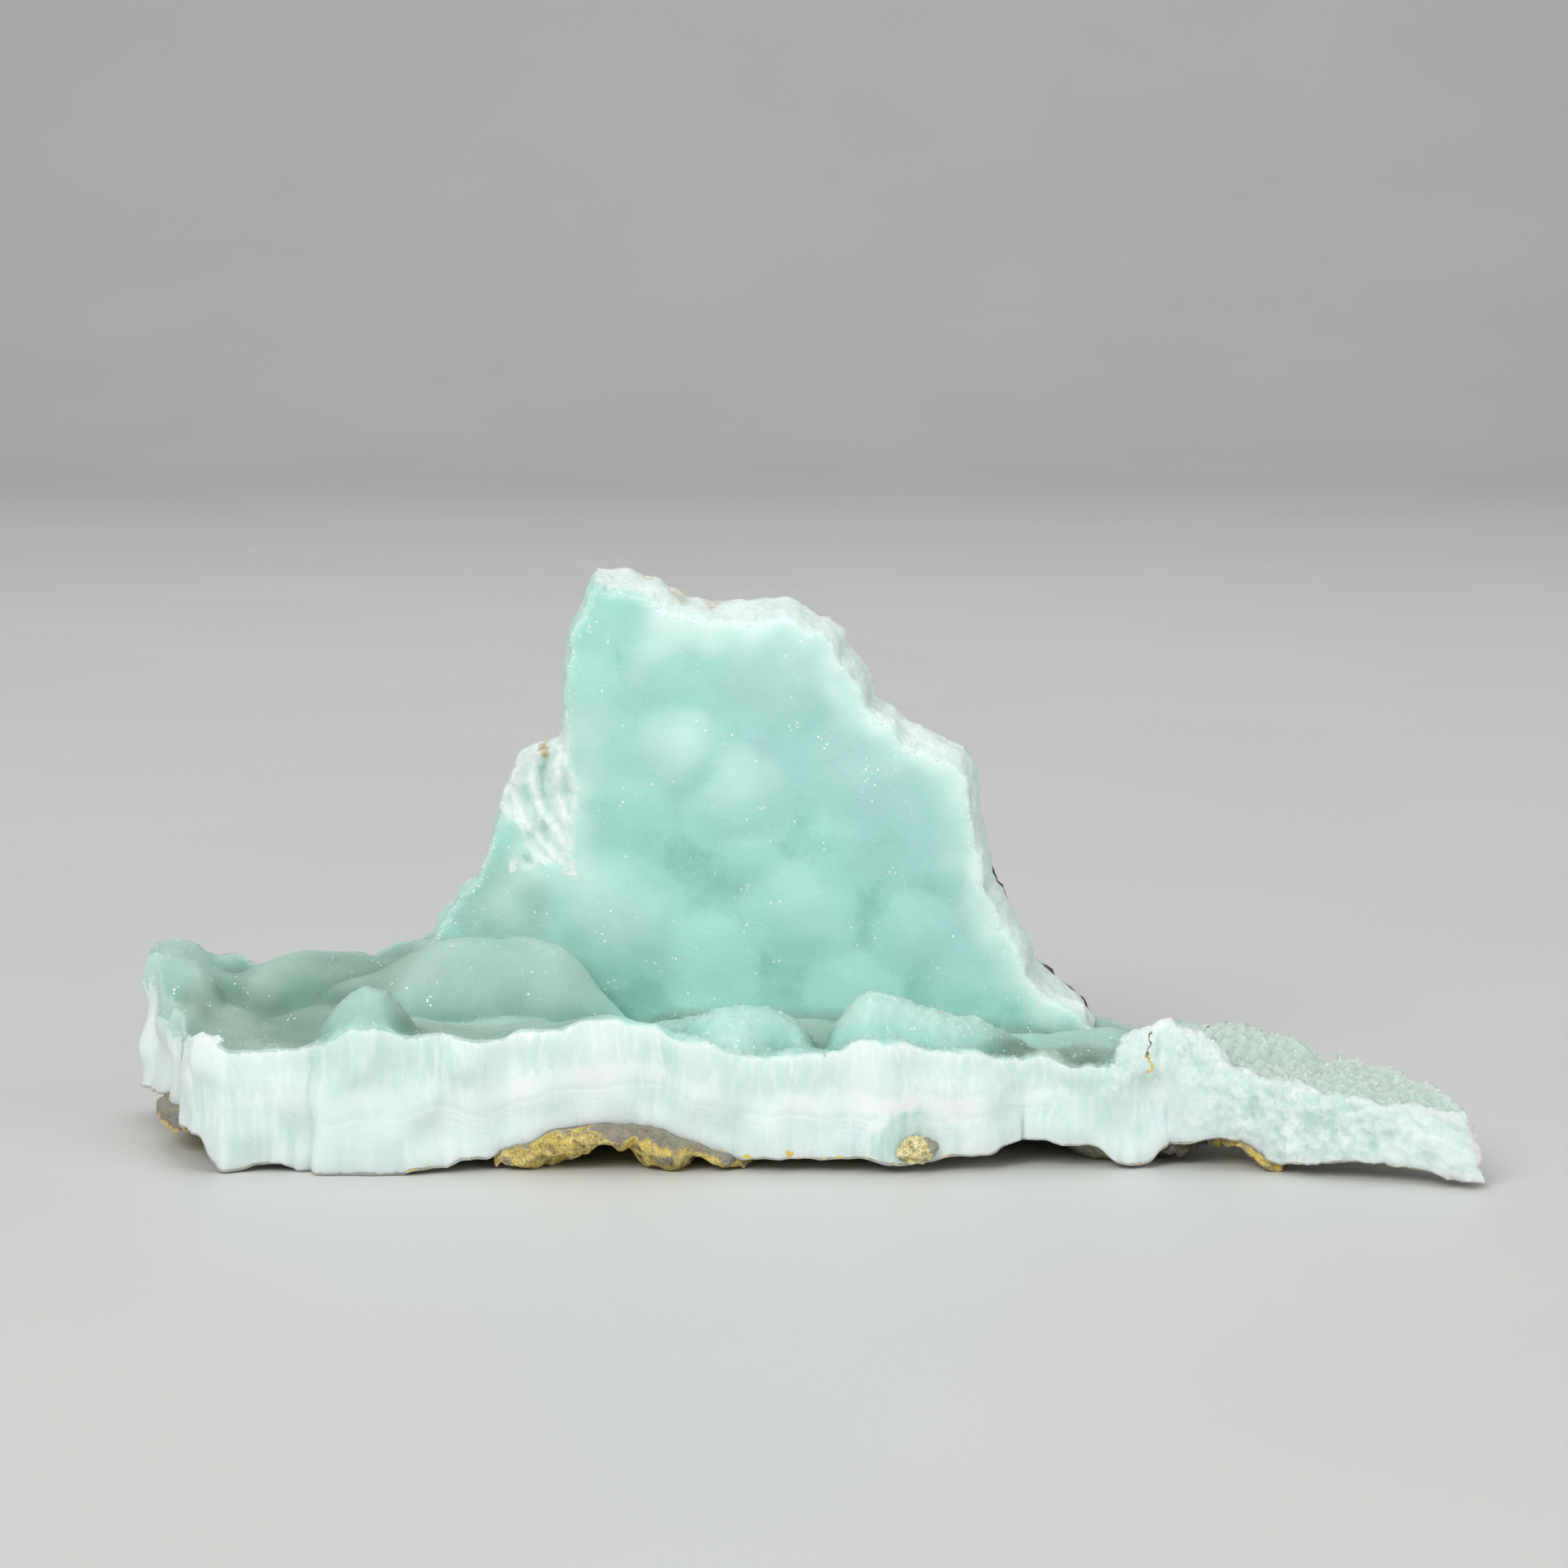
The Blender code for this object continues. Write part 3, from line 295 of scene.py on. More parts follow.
# Paler and deeper places on the wall: x, z, radius, how much paler
WALL_TONES = [
    (-14, 40.5, 6, 0.35), (-6, 39, 6.5, 0.35), (2, 36.5, 6.5, 0.40), (9, 30, 6.5, 0.22),
    (11.5, 20, 6, -0.10), (-15.6, 17.8, 4, 0.22), (-6.8, 22.8, 2.8, -0.22), (0.2, 12.4, 3.6, -0.18),
    (-14.4, 40.2, 1, -0.45), (-14.8, 24.5, 3, -0.20), (3.8, 25, 3.4, -0.08), (-12.6, 10.6, 2.6, -0.40),
    (-25, 19, 4.5, 0.35), (-9.2, 31.8, 2, 0.30),
]

# Paler and deeper places on the floor: x, y, radius, how much paler
FLOOR_TONES = [
    (-48, 2, 5, -0.25), (-40, -3, 4.5, -0.75), (-38.5, 4.5, 4.5, -0.40), (-26, -5, 5, 0.45),
    (-2.5, -17, 3.5, 0.28), (10, -17.5, 6, 0.30), (-54.5, 4, 4, 0.25), (21.5, -13, 4.5, -0.85),
    (-43, -14.5, 4, 0.35), (-34, -16, 3.4, -0.85), (-29, -3.5, 4, 0.25), (-26.5, 3, 5.5, -0.32),
    (-3, -12.8, 4.5, -0.45), (8, -12.2, 4.5, -0.20), (-18, -8, 5, -0.20), (1.5, -8.5, 2.5, -0.5),
]

# Bluer and clearer places in the front break: x, z, radius, strength
CLEAR_PATCHES = [
    (9.4, 2.8, 2.6, 1), (-36.5, 9, 3, 0.5), (-29, 8.6, 3.4, 0.5), (-3, 8, 3.6, 0.4), (4.5, 2.6, 3, 0.35),
    (-10, 7.6, 3, 0.35), (26, 6, 2.6, 0.4), (33.5, 8, 2.4, 0.5), (29.6, 4.2, 1.7, 0.6), (35.4, 5, 2, 0.5),
    (22.4, 4.6, 1.6, 0.5), (17.6, 5, 1.5, 0.4), (-47.2, 5.5, 2.6, 0.5), (-43, 3, 3, 0.35),
]

# Ochre and brown stains: x, y, z, radius, strength
STAINS = [
    (-9.2, 15.8, 45.6, 1.5, 0.5), (-6.2, 15.4, 44.7, 1.3, 0.5), (-12.4, 16, 46.9, 1, 0.45),
    (-21.3, 12.6, 31.6, 0.8, 0.9),
]

# Spots of ochre along the foot of the front break: x, z, radius
OCHRE_SPOTS = [
    (-5.1, 1.5, 0.30), (-3, 1, 0.40), (0.4, 1.5, 0.34), (3.4, 1.1, 0.30), (4.6, 1, 0.45), (6.7, 1.1, 0.30),
    (9, 0.5, 0.50), (13.4, 0.8, 0.45), (15.2, 0.9, 0.30),
]

# The clear pocket round the nodule: its middle in x and z, the two radii of the white arch over it, and
# where it clears from right to left
POCKET_MIDDLE = (11.0, 1.6)
POCKET_ARCH = (4.0, 4.4)
POCKET_SIDE = (12.4, 9.4)

# The thin vein of earth down the front of the knob: its foot and its top in x and z, its width, and the
# heights between which it turns dark
VEIN_FOOT = (29.9, 7.8)
VEIN_TOP = (30.4, 11.3)
VEIN_WIDTH = 0.20
VEIN_TURNS_DARK = (8.8, 9.8)

# The front break: the depth that all of it is nearer than, where its growth bands fade in on the left and
# on the right, the fine bands from foot to top, in radians, and the stretch that lays its noise flat
FRONT_DEPTH = -10.0
BANDS_LEFT = (-46.0, -34.0)
BANDS_RIGHT = (27.0, 19.0)
FINE_BANDS = 118.0
FLAT_STRETCH = (1.0, 1.0, 0.02)

# How far light glows through the crust, and the size of the painted glints: white spots where crystal faces
# would flash
GLOW_DEPTH = 2.0
PAINTED_GLINT_SIZE = 0.26

# Rind under the middle of the floor: its outline in x and y, its thickness, and its lumps
FRONT_RIND_OUTLINE = [
    (-23.4, -17.6), (-21.4, -18.9), (-18, -19.2), (-14.6, -18.9), (-12.6, -19), (-9.8, -19.5),
    (-7.2, -19.2), (-4.6, -18.6), (-1, -14.6), (5, -15), (9, -13.5), (12, -9), (9, -4), (3, -1.5), (-5, 1),
    (-11, 0), (-15, -5), (-20, -9), (-22, -13),
]
FRONT_RIND_THICKNESS = 0.7
FRONT_RIND_LUMPS = [
    (-18.2, -16.6, 4.6, 3.6, 10, 0, 2.4), (-10.2, -17, 2.9, 3.4, 0, 0, 3.1),
    (-13.8, -17.6, 2.4, 2.6, 0, 0, 1.8), (-13, -7.5, 5, 4, 0, 0, 1.5), (0.5, -9, 5, 4, 0, 0, 1.6),
    (7, -8.5, 3.4, 3, 0, 0, 1.3),
]

# Rind under the left end, in the same terms
LEFT_RIND_OUTLINE = [
    (-52.6, -9.6), (-49.8, -12.6), (-48, -10), (-47.6, -5), (-49, -1), (-51.6, 1.6), (-53.9, 0.6),
    (-52.6, -3.6), (-53.2, -6.6),
]
LEFT_RIND_THICKNESS = 0.8
LEFT_RIND_LUMPS = [
    (-50.6, -8.2, 2.8, 3.4, 0, 0, 1.3), (-51.6, -1.6, 2.4, 2.8, 0, 0, 1.5),
]

# Rind under the root of the tail, in the same terms
TAIL_RIND_OUTLINE = [
    (37.4, -17.6), (39.2, -19), (41, -18.8), (42.6, -14.6), (42.4, -9.4), (38.6, -7.4), (36, -10.4),
    (35.8, -14.4),
]
TAIL_RIND_THICKNESS = 0.5
TAIL_RIND_LUMPS = [
    (39.6, -16.4, 1.9, 3, 0, 0, 1.3),
]

# Dark rind between the knob and the tail, in the same terms
DARK_RIND_OUTLINE = [
    (31.6, -15.9), (33.6, -16.5), (34.9, -14.8), (35, -11.4), (32.8, -10.4), (31.8, -12.8),
]
DARK_RIND_THICKNESS = 0.5
DARK_RIND_LUMPS = [
    (33, -15, 1.2, 1.6, 0, 0, 0.9),
]

# Rind on the back of the wall: its outline in x and z, its thickness, and its lumps
BACK_RIND_OUTLINE = [
    (22.6, 9), (26.9, 8.2), (26.6, 9.3), (25.2, 10.7), (23.1, 12.4), (21.4, 14.2), (20, 17), (18.9, 20.1),
    (17.2, 24), (15.9, 29.4), (13.6, 32.2), (8.4, 33.4), (5.8, 38), (2, 42.6), (-3, 43.2), (-8, 44.4),
    (-13, 45), (-15.6, 42), (-16.8, 36), (-18.2, 31.6), (-22.6, 29.8), (-24.4, 24), (-26.6, 18.6),
    (-27.6, 13.6), (-20, 11.6), (-8, 10.8), (8, 10.2),
]
BACK_RIND_THICKNESS = 0.6
BACK_RIND_LUMPS = [
    (-11, 34, 6, 7, 20, 0, 1.5), (-2, 20, 8, 6, -10, 0, 1.7), (11, 24, 5, 6, 0, 0, 1.3),
    (-19, 20, 5, 5, 0, 0, 1.4), (14, 15, 5, 3.6, 0, 0, 1.2),
]

# A limonite nodule in the foot of the front break: its middle, its radii, and its roughness as a share of
# them
NODULE_MIDDLE = (10.9, -19.0, 1.9)
NODULE_RADII = (1.65, 1.25, 1.05)
NODULE_ROUGHNESS = (0.22, 1.0)
NODULE_RIDGES = (0.16, 0.42)
NODULE_GRAIN = (0.05, 0.18)

# A rind's gap to the crust, the fillet round its lumps, how rough its edge is, its facets' sizes round the
# edge, on the near and on the far face, and the rows of them round its edge
RIND_GAP = 0.12
RIND_FILLET = 0.4
RIND_ROUGHNESS = 0.5
RIND_FACETS = (0.42, 0.5, 0.42)
RIND_ROWS = 5
BACK_RIND_FACETS = (0.5, 1.6, 0.55)
BACK_RIND_ROWS = 4

# The camera, fitted to the specimen: place in the outlines' axes, pitch in degrees, lens and sensor
CAMERA_PLACE = (0.0, -347.0, 69.5)
CAMERA_PITCH = 6.5
CAMERA_LENS = 93.17
CAMERA_SENSOR = 36.0

# The lights, in metres: name, place, target, size and power
LIGHTS = [
    ("key_light", (-0.40, -0.72, 0.62), (0.0, 0.0, 0.02), 0.55, 6.6),
    ("fill_light", (0.70, -0.45, 0.35), (0.0, 0.0, 0.02), 0.60, 2.1),
    ("top_light", (0.0, 0.22, 0.90), (0.0, 0.0, 0.0), 0.80, 2.3),
    ("backdrop_light", (0.0, 0.70, 1.30), (0.0, 2.0, 0.45), 1.20, 6.5),
]
AIR_STRENGTH = 0.30

# The studio floor, in metres: half its width, its front edge, where it bends up, the bend's radius, its
# top, and how far it lies below the specimen
STAGE_HALF_WIDTH = 2.6
STAGE_FRONT = -2.2
STAGE_BEND = 1.4
STAGE_RADIUS = 0.6
STAGE_TOP = 2.2
STAGE_DROP = 0.00005


def to_frame(points):
    """Points in millimetres in the outlines' axes, as metres in the frame's."""
    return (np.asarray(points, float) - (*BOX_CENTRE, 0.0)) * MILLIMETRE


def unit(vectors):
    """The vectors, each made one long."""
    return vectors / np.linalg.norm(vectors, axis=1)[:, None]


def near_tree(places, numbers):
    """A tree that finds the nearest of some places, and its number."""
    tree = KDTree(len(numbers))
    for place, number in zip(places, numbers):
        tree.insert(place, number)
    tree.balance()
    return tree


def new_object(name, data):
    """A new object in the scene."""
    made = bpy.data.objects.new(name, data)
    bpy.context.scene.collection.objects.link(made)
    return made


def lattice(ix, iy, seed):
    """A fixed number from -1 to 1 for each corner of a square lattice."""
    mixed = (ix * 374761393 + iy * 668265263 + seed * 362437) & 0xFFFFFFFF
    mixed = ((mixed ^ (mixed >> 13)) * 1274126177) & 0xFFFFFFFF
    return ((mixed ^ (mixed >> 16)) & 0xFFFF) / 32767.5 - 1.0


def swell(u, v, amount_and_size, seed):
    """Smooth random height over the u, v plane."""
    amount, size = amount_and_size
    u, v = np.asarray(u) / size, np.asarray(v) / size
    iu, iv = np.floor(u).astype(np.int64), np.floor(v).astype(np.int64)
    fu, fv = u - iu, v - iv
    fu, fv = fu * fu * (3 - 2 * fu), fv * fv * (3 - 2 * fv)
    low = lattice(iu, iv, seed) * (1 - fu) + lattice(iu + 1, iv, seed) * fu
    high = lattice(iu, iv + 1, seed) * (1 - fu) + lattice(iu + 1, iv + 1, seed) * fu
    return amount * (low * (1 - fv) + high * fv)


def turned_swell(u, v, amount_and_size, seed):
    """The same, turned so that its lattice doesn't line up with the outline's axes."""
    return swell(0.83 * u + 0.56 * v, 0.83 * v - 0.56 * u, amount_and_size, seed)


def wander(u, amount_and_size, seed):
    """Smooth random drift along one line."""
    return swell(u, np.zeros_like(u), amount_and_size, seed)


def pillars(u, v, amount_and_size, seed):
    """Rounded swells with sharp creases between them, from 0 up to the amount."""
    return np.abs(swell(u, v, amount_and_size, seed))


def crystals(u, v, amount_and_size, seed):
    """Relief of close-set crystal tips: at each point, the highest of the pyramids that stand around it."""
    amount, size = amount_and_size
    u, v = np.asarray(u) / size, np.asarray(v) / size
    iu, iv = np.floor(u).astype(np.int64), np.floor(v).astype(np.int64)
    found = np.zeros(np.shape(u))
    for shift_u, shift_v in ((a, b) for a in (-1, 0, 1) for b in (-1, 0, 1)):
        cell_u, cell_v = iu + shift_u, iv + shift_v
        away_u = u - cell_u - 0.5 - 0.45 * lattice(cell_u, cell_v, seed)
        away_v = v - cell_v - 0.5 - 0.45 * lattice(cell_u, cell_v, seed + 1)
        turn = math.pi * lattice(cell_u, cell_v, seed + 2)
        tip = 0.72 + 0.28 * lattice(cell_u, cell_v, seed + 3)
        p = away_u * np.cos(turn) + away_v * np.sin(turn)
        q = away_v * np.cos(turn) - away_u * np.sin(turn)
        found = np.maximum(found, tip - 1.1 * np.maximum(np.abs(p), np.abs(q)))
    return amount * found


def step(value, low, high):
    """A smooth step from 0 at low to 1 at high."""
    share = np.clip((value - low) / (high - low), 0, 1)
    return share * share * (3 - 2 * share)


def plateau(value, start, full, fading, end):
    """A smooth rise from start to full, and a smooth fall from fading to end."""
    return step(value, start, full) * step(-value, -end, -fading)


def blend_spots(spots, u, v, reach):
    """Height at u, v from the spot heights, the nearest counting most."""
    spots = np.array(spots)
    away = (np.asarray(u)[..., None] - spots[:, 0]) ** 2 + (np.asarray(v)[..., None] - spots[:, 1]) ** 2
    weight = (away + reach**2) ** -2.5
    return (weight * spots[:, 2]).sum(-1) / weight.sum(-1)


def patches(spots, u, v):
    """The strongest of several soft round patches: u, v, radius, strength."""
    found = np.zeros(np.shape(u))
    for middle_u, middle_v, radius, strength in spots:
        away = ((u - middle_u) ** 2 + (v - middle_v) ** 2) / radius**2
        found = np.maximum(found, strength * step(-away, -1.4, -0.35))
    return found


def tones(spots, u, v):
    """The sum of several soft round changes: u, v, radius, amount."""
    return sum(a * np.exp(-((u - x) ** 2 + (v - y) ** 2) / radius**2) for x, y, radius, a in spots)


def smooth_max(a, b, fillet):
    share = np.clip(0.5 + 0.5 * (a - b) / fillet, 0, 1)
    return b + (a - b) * share + fillet * share * (1 - share)


def raise_lumps(height, lumps, u, v, fillet, soft=False):
    """Rounded lumps, or softer mounds, standing out of a surface and joined to it by small fillets."""
    for middle_u, middle_v, radius_u, radius_v, turn, foot, crown in lumps:
        cosine, sine = math.cos(math.radians(turn)), math.sin(math.radians(turn))
        p = ((u - middle_u) * cosine + (v - middle_v) * sine) / radius_u
        q = ((v - middle_v) * cosine - (u - middle_u) * sine) / radius_v
        away = p * p + q * q
        round_top = np.sqrt(np.clip(1 - away, 0, None)) - np.clip(away - 1, 0, None)
        height = smooth_max(height, foot + (crown - foot) * (1 - 0.75 * away if soft else round_top), fillet)
    return height


def raise_crests(height, x, y):
    """The long lumps and the knob, standing out of the floor."""
    foot = FLOOR_FOOT
    for middle, half_width, bluntness, crest in FLOOR_CRESTS:
        top = np.interp(x, *np.transpose(crest))
        narrowed = half_width * (0.5 + 0.5 * (top - foot) / (max(z for _, z in crest) - foot))
        away = np.abs((y - middle - wander(x, CREST_WANDER, 94)) / narrowed) ** bluntness
        height = smooth_max(height, foot + (top - foot) * (1 - away), LUMP_FILLET)
    return height


def knob_folds(x, y):
    """Ridges that run out from the top of the knob."""
    across, along = x - KNOB_TOP[0], y - KNOB_TOP[1]
    away = np.hypot(across, along)
    angle = np.arctan2(along, across) + wander(away, KNOB_WANDER, 8)
    ridge = 1 - 2 * np.abs(np.sin(KNOB_FOLDS * angle / 2))
    return KNOB_FOLD_DEPTH * ridge * plateau(away, 0.3, 1.6, 2.6, 5.0)


def floor_form(x, y):
    """The floor's large form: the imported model's, with its lumps a little out of round."""
    base = blend_spots(FLOOR_SPOTS, x, y, FLOOR_REACH)
    loose = 0.35 + 0.65 * step(-x, 12.0, 18.0)
    behind_lip = step(y, -17.0, -12.0)
    bent_x = x + loose * turned_swell(x, y, LUMP_WARP, 91)
    bent_y = y + loose * turned_swell(x, y, LUMP_WARP, 92) * behind_lip
    folds = np.maximum(loose, step(x, 18.0, 24.0)) * turned_swell(x, y, LUMP_FOLDS, 93) * behind_lip
    mounds = raise_lumps(base, FLOOR_MOUNDS, bent_x, bent_y, LUMP_FILLET, soft=True)
    lumps = raise_crests(raise_lumps(mounds, FLOOR_LUMPS, bent_x, bent_y, LUMP_FILLET), x, bent_y)
    return lumps + swell(x, y, GROWTH_SWELL, 1) + folds


def velvet(u, v, seed):
    """The finest relief of the growth surface."""
    return sum(turned_swell(u, v, size, seed + index) for index, size in enumerate(VELVET_SWELLS))


def crumbs(u, v, seed):
    """The fine relief of the old attachment surface."""
    return sum(pillars(u, v, size, seed + index) for index, size in enumerate(ATTACHMENT_LUMPS))


def floor_skin(x, y):
    coarse = patches(COARSE_PATCHES, x, y)
    broken = patches(FLOOR_BREAKS, x, y)
    grainy = patches(GRAINY_PATCHES, x, y)
    druse = coarse**1.5 * crystals(x, y, TAIL_TIPS, 101) + grainy * crystals(x, y, FINE_TIPS, 105)
    splinters = crystals(x, y, BREAK_TIPS, 103)
    return floor_form(x, y) + velvet(x, y, 109) + druse + broken * splinters + knob_folds(x, y)


def floor_underside(x, y):
    base = blend_spots(UNDERSIDE_SPOTS, x, y, UNDERSIDE_REACH)
    base = base + swell(x, y, ATTACHMENT_SWELL, 2) * np.clip(base, 0, 1)
    return np.maximum(base + crumbs(x, y, 111) * np.clip(base * 2, 0, 1), 0.0)


def wall_plane(x, z):
    """Depth of the wall's mean front."""
    return WALL_FOOT_DEPTH + WALL_LEAN * (z - WALL_FOOT[1]) + WALL_TURN * (x - WALL_FOOT[0])


def chip_inside(x, z):
    """How far in from the edges of the shoulder's chip a point is."""
    from_side = CHIP_CORNER[0] - x
    above = z - CHIP_CORNER[1] - CHIP_LOWER_SLOPE * from_side
    left = (above - CHIP_LEFT_SLOPE * (from_side - CHIP_WIDTH)) * math.cos(math.atan(CHIP_LEFT_SLOPE))
    ragged = sum(turned_swell(x, z, size, 123 + index) for index, size in enumerate(CHIP_WANDERS))
    inside = np.minimum.reduce([from_side - 0.3, above, left])
    return np.minimum(inside + ragged, 0.8 * (CHIP_TOP - z))


def chip_depth(x, z):
    """How far the broken shoulder lies behind the growth surface, with the scoops that the break left."""
    inside = chip_inside(x, z)
    bend = np.where(z < CHIP_BEND, 0.08, 0.03) * (z - CHIP_BEND) ** 2
    along = CHIP_CORNER[0] - x + bend + wander(z, BLADE_WANDER, 121)
    blade = 1 - np.abs(np.sin(math.pi * along / SCOOP_WIDTH))
    splinters = pillars(x, z * 0.22, BLADE_SPLINTERS, 122)
    deep = np.clip(CHIP_STEEPNESS * inside, 0, CHIP_DEPTH)
    return deep - (SCOOP_DEPTH * (blade - 0.45) + splinters) * np.clip(inside * 1.4, 0, 1)


def wall_mounds(x, z):
    bent_x = x + turned_swell(x, z, MOUND_WARP, 95)
    bent_z = z + turned_swell(x, z, MOUND_WARP, 96)
    return raise_lumps(np.zeros_like(x), WALL_LUMPS, bent_x, bent_z, WALL_FILLET, soft=True)


def wall_discs(x, z):
    """How far a point is inside the wall's mounds, seen as hazy discs: 1 on the highest, 0 between them."""
    bent_x = x + turned_swell(x, z, DISC_WARP, 97)
    bent_z = z + turned_swell(x, z, DISC_WARP, 98)
    found = np.zeros(np.shape(x))
    for middle_x, middle_z, radius_x, radius_z, _, _, high in WALL_LUMPS:
        away = ((bent_x - middle_x) / radius_x) ** 2 + ((bent_z - middle_z) / radius_z) ** 2
        found = np.maximum(found, 0.5 * high * step(-away, -1.04, -0.62))
    return found


def wall_form(x, z):
    return wall_plane(x, z) - WALL_RELIEF * wall_mounds(x, z) - swell(x, z, GROWTH_SWELL, 3)


def wall_skin(x, z):
    return wall_form(x, z) + chip_depth(x, z) - velvet(x, z, 131)


def wall_back(x, z):
    return wall_plane(x, z) + WALL_THICKNESS + swell(x, z, ATTACHMENT_SWELL, 4) - crumbs(x, z, 141)


def floor_break(x, y, places, height, share):
    """Relief of the floor's broken edge, outwards: upright columns, fibres and small ledges."""
    broad = pillars(places, height * 0.10, BROAD_COLUMNS, 150)
    columns = pillars(places, height * 0.10, COLUMN_RIDGES, 151) * (0.4 + 1.2 * step(share, 0.6, 0.95))
    fibres = pillars(places, height * 0.08, FIBRE_RIDGES, 152)
    ledges = swell(places * 0.22, height, LEDGE_SWELL, 153)
    tail = step(x, 33.5, 38.5)
    left = step(-x, 48.5, 50.5) * step(y, -13.0, -9.0)
    flanks = step(-np.abs(x - KNOB_TOP[0]), -6.0, -4.0) * step(-share, -0.5, -0.3)
    sugar = crystals(places, height, SUGAR_TIPS, 154) + crystals(places, height, FINE_SUGAR_TIPS, 159)
    sugar = sugar * np.maximum(tail, 0.7 * flanks)
    pleats = pillars(places, height * 0.08, PLEAT_RIDGES, 158)
    corner = 1 - 0.7 * step(-x, 44.0, 47.0) * (1 - left)
    relief = broad * corner + (columns + fibres + ledges) * (1 - 0.7 * tail) + sugar + pleats * left
    front = step(-y, 8.0, 12.0)
    for crack_x, depth, crack_top in CRACKS:
        away = (x - crack_x - wander(height, CRACK_WANDER, 157)) / CRACK_WIDTH
        relief = relief - depth * front * step(share, crack_top, crack_top + 0.15) * np.exp(-(away**2))
    knob = np.exp(-(((x - KNOB_TOP[0]) / 3.4) ** 2)) * front * step(-share, -0.75, -0.2)
    fan = (x - KNOB_TOP[0]) / (1.6 + 0.35 * np.clip(12.0 - height, 0, None))
    folds = 2 * np.abs(np.sin(2.6 * fan + 0.5)) - 1
    return relief - 0.25 - 0.45 * tail - 0.75 * left + 0.3 * knob * folds


def wall_break(x, z, places, depth, share):
    """Relief of the wall's broken edge: coarse sugary grains."""
    grainy = crystals(places, depth, RIM_TIPS, 161) + swell(places, depth, RIM_SWELL, 162)
    return grainy + pillars(places, depth * 0.2, RIM_RIDGES, 163) - 0.2


def rind_break(x, y, places, height, share):
    """Relief of a scrap of rind's edge."""
    return swell(places, height, RIND_EDGE_SWELL, 171) + pillars(places, height, RIND_EDGE_RIDGES, 172)


def fine_run(outline, spacing):
    """Points about a spacing apart along the closed outline, counter-clockwise, and their places along it.

    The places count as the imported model's do, so that both have the same swells. An outline without a third
    value has a face as wide as its other one.
    """
    rows = np.array([(*point, 0.0)[:3] for point in outline + outline[:1]])
    run, places, place = [], [], 0.0
    for start, end in zip(rows, rows[1:]):
        length = math.dist(start[:2], end[:2])
        pieces = max(1, round(length / spacing))
        span = max(1, round(length / SOLID_STEP)) * SOLID_STEP
        for piece in range(pieces):
            run.append(start + (end - start) * piece / pieces)
            places.append(place + span * piece / pieces)
        place += span
    run, places = np.array(run), np.array(places)
    ahead = np.roll(run, -1, axis=0)
    if (run[:, 0] * ahead[:, 1] - run[:, 1] * ahead[:, 0]).sum() < 0:
        run, places = run[::-1], places[::-1]
    return run, places


def outward(loop, reach):
    """Unit normals that point out of a counter-clockwise loop, smoothed over a reach of points."""
    ahead = np.roll(loop, -1, axis=0) - np.roll(loop, 1, axis=0)
    ahead = sum(np.roll(ahead, shift, axis=0) for shift in range(-reach, reach + 1))
    return unit(np.stack([ahead[:, 1], -ahead[:, 0]], axis=1))


def crossing(a, b, c, d):
    """Which of the stretches from a to b cross the stretches from c to d."""

    def side(p, q, r):
        return (q[:, 0] - p[:, 0]) * (r[:, 1] - p[:, 1]) - (q[:, 1] - p[:, 1]) * (r[:, 0] - p[:, 0])

    return (side(a, b, c) * side(a, b, d) < 0) & (side(c, d, a) * side(c, d, b) < 0)


def untangled(loop):
    """The loop, smoothed a little wherever its relief makes it cross itself."""
    for _ in range(80):
        tangled = np.zeros(len(loop), bool)
        for gap in range(2, 14):
            found = crossing(loop, *(np.roll(loop, -shift, axis=0) for shift in (1, gap, gap + 1)))
            for index in np.flatnonzero(found):
                tangled[(index + np.arange(-1, gap + 3)) % len(loop)] = True
        if not tangled.any():
            return loop
        smooth = (np.roll(loop, 1, axis=0) + 2 * loop + np.roll(loop, -1, axis=0)) / 4
        loop = np.where(tangled[:, None], smooth, loop)
    raise ValueError("the outline crosses itself")


def inside_loop(points, loop):
    """Which of the points lie inside the closed loop."""
    inside = np.zeros(len(points), bool)
    for (x0, y0), (x1, y1) in zip(loop, np.roll(loop, -1, axis=0)):
        if y0 == y1:
            continue
        crosses = (y0 > points[:, 1]) != (y1 > points[:, 1])
        inside ^= crosses & (points[:, 0] < (x1 - x0) * (points[:, 1] - y0) / (y1 - y0) + x0)
    return inside


def grid_inside(loop, spacing, jitter, random):
    """A jittered grid of points inside the loop, and how far each is from it."""
    low, high = loop.min(0), loop.max(0)
    row_height = spacing * math.sqrt(3) / 2
    rows = np.arange(int((high[1] - low[1]) / row_height) + 1)
    columns = np.arange(int((high[0] - low[0]) / spacing) + 2)
    row, column = np.meshgrid(rows, columns, indexing="ij")
    grid = np.stack([low[0] + (column + 0.5 * (row % 2)) * spacing, low[1] + row * row_height], axis=-1)
    grid = grid.reshape(-1, 2) + random.uniform(-jitter, jitter, (grid.size // 2, 2)) * spacing
    grid = grid[inside_loop(grid, loop)]
    lip = near_tree([(u, v, 0) for u, v in loop], range(len(loop)))
    return grid, np.array([lip.find((u, v, 0))[2] for u, v in grid])


def fill(loop, spacing, random):
    """The loop's points followed by a grid of others, the triangles between them, and gaps to the loop."""
    grid, gaps = grid_inside(loop, spacing, 0.2, random)
    grid, gaps = grid[gaps > 0.6 * spacing], gaps[gaps > 0.6 * spacing]
    points = np.concatenate([loop, grid])
    result = delaunay_2d_cdt([Vector(p) for p in points], [], [list(range(len(loop)))], 1, 1e-6)
    if not all(result[3]):
        raise ValueError("the outline crosses itself")
    renumber = np.array([origin[0] for origin in result[3]])
    return points, renumber[np.array(result[2])], np.concatenate([np.zeros(len(loop)), gaps])


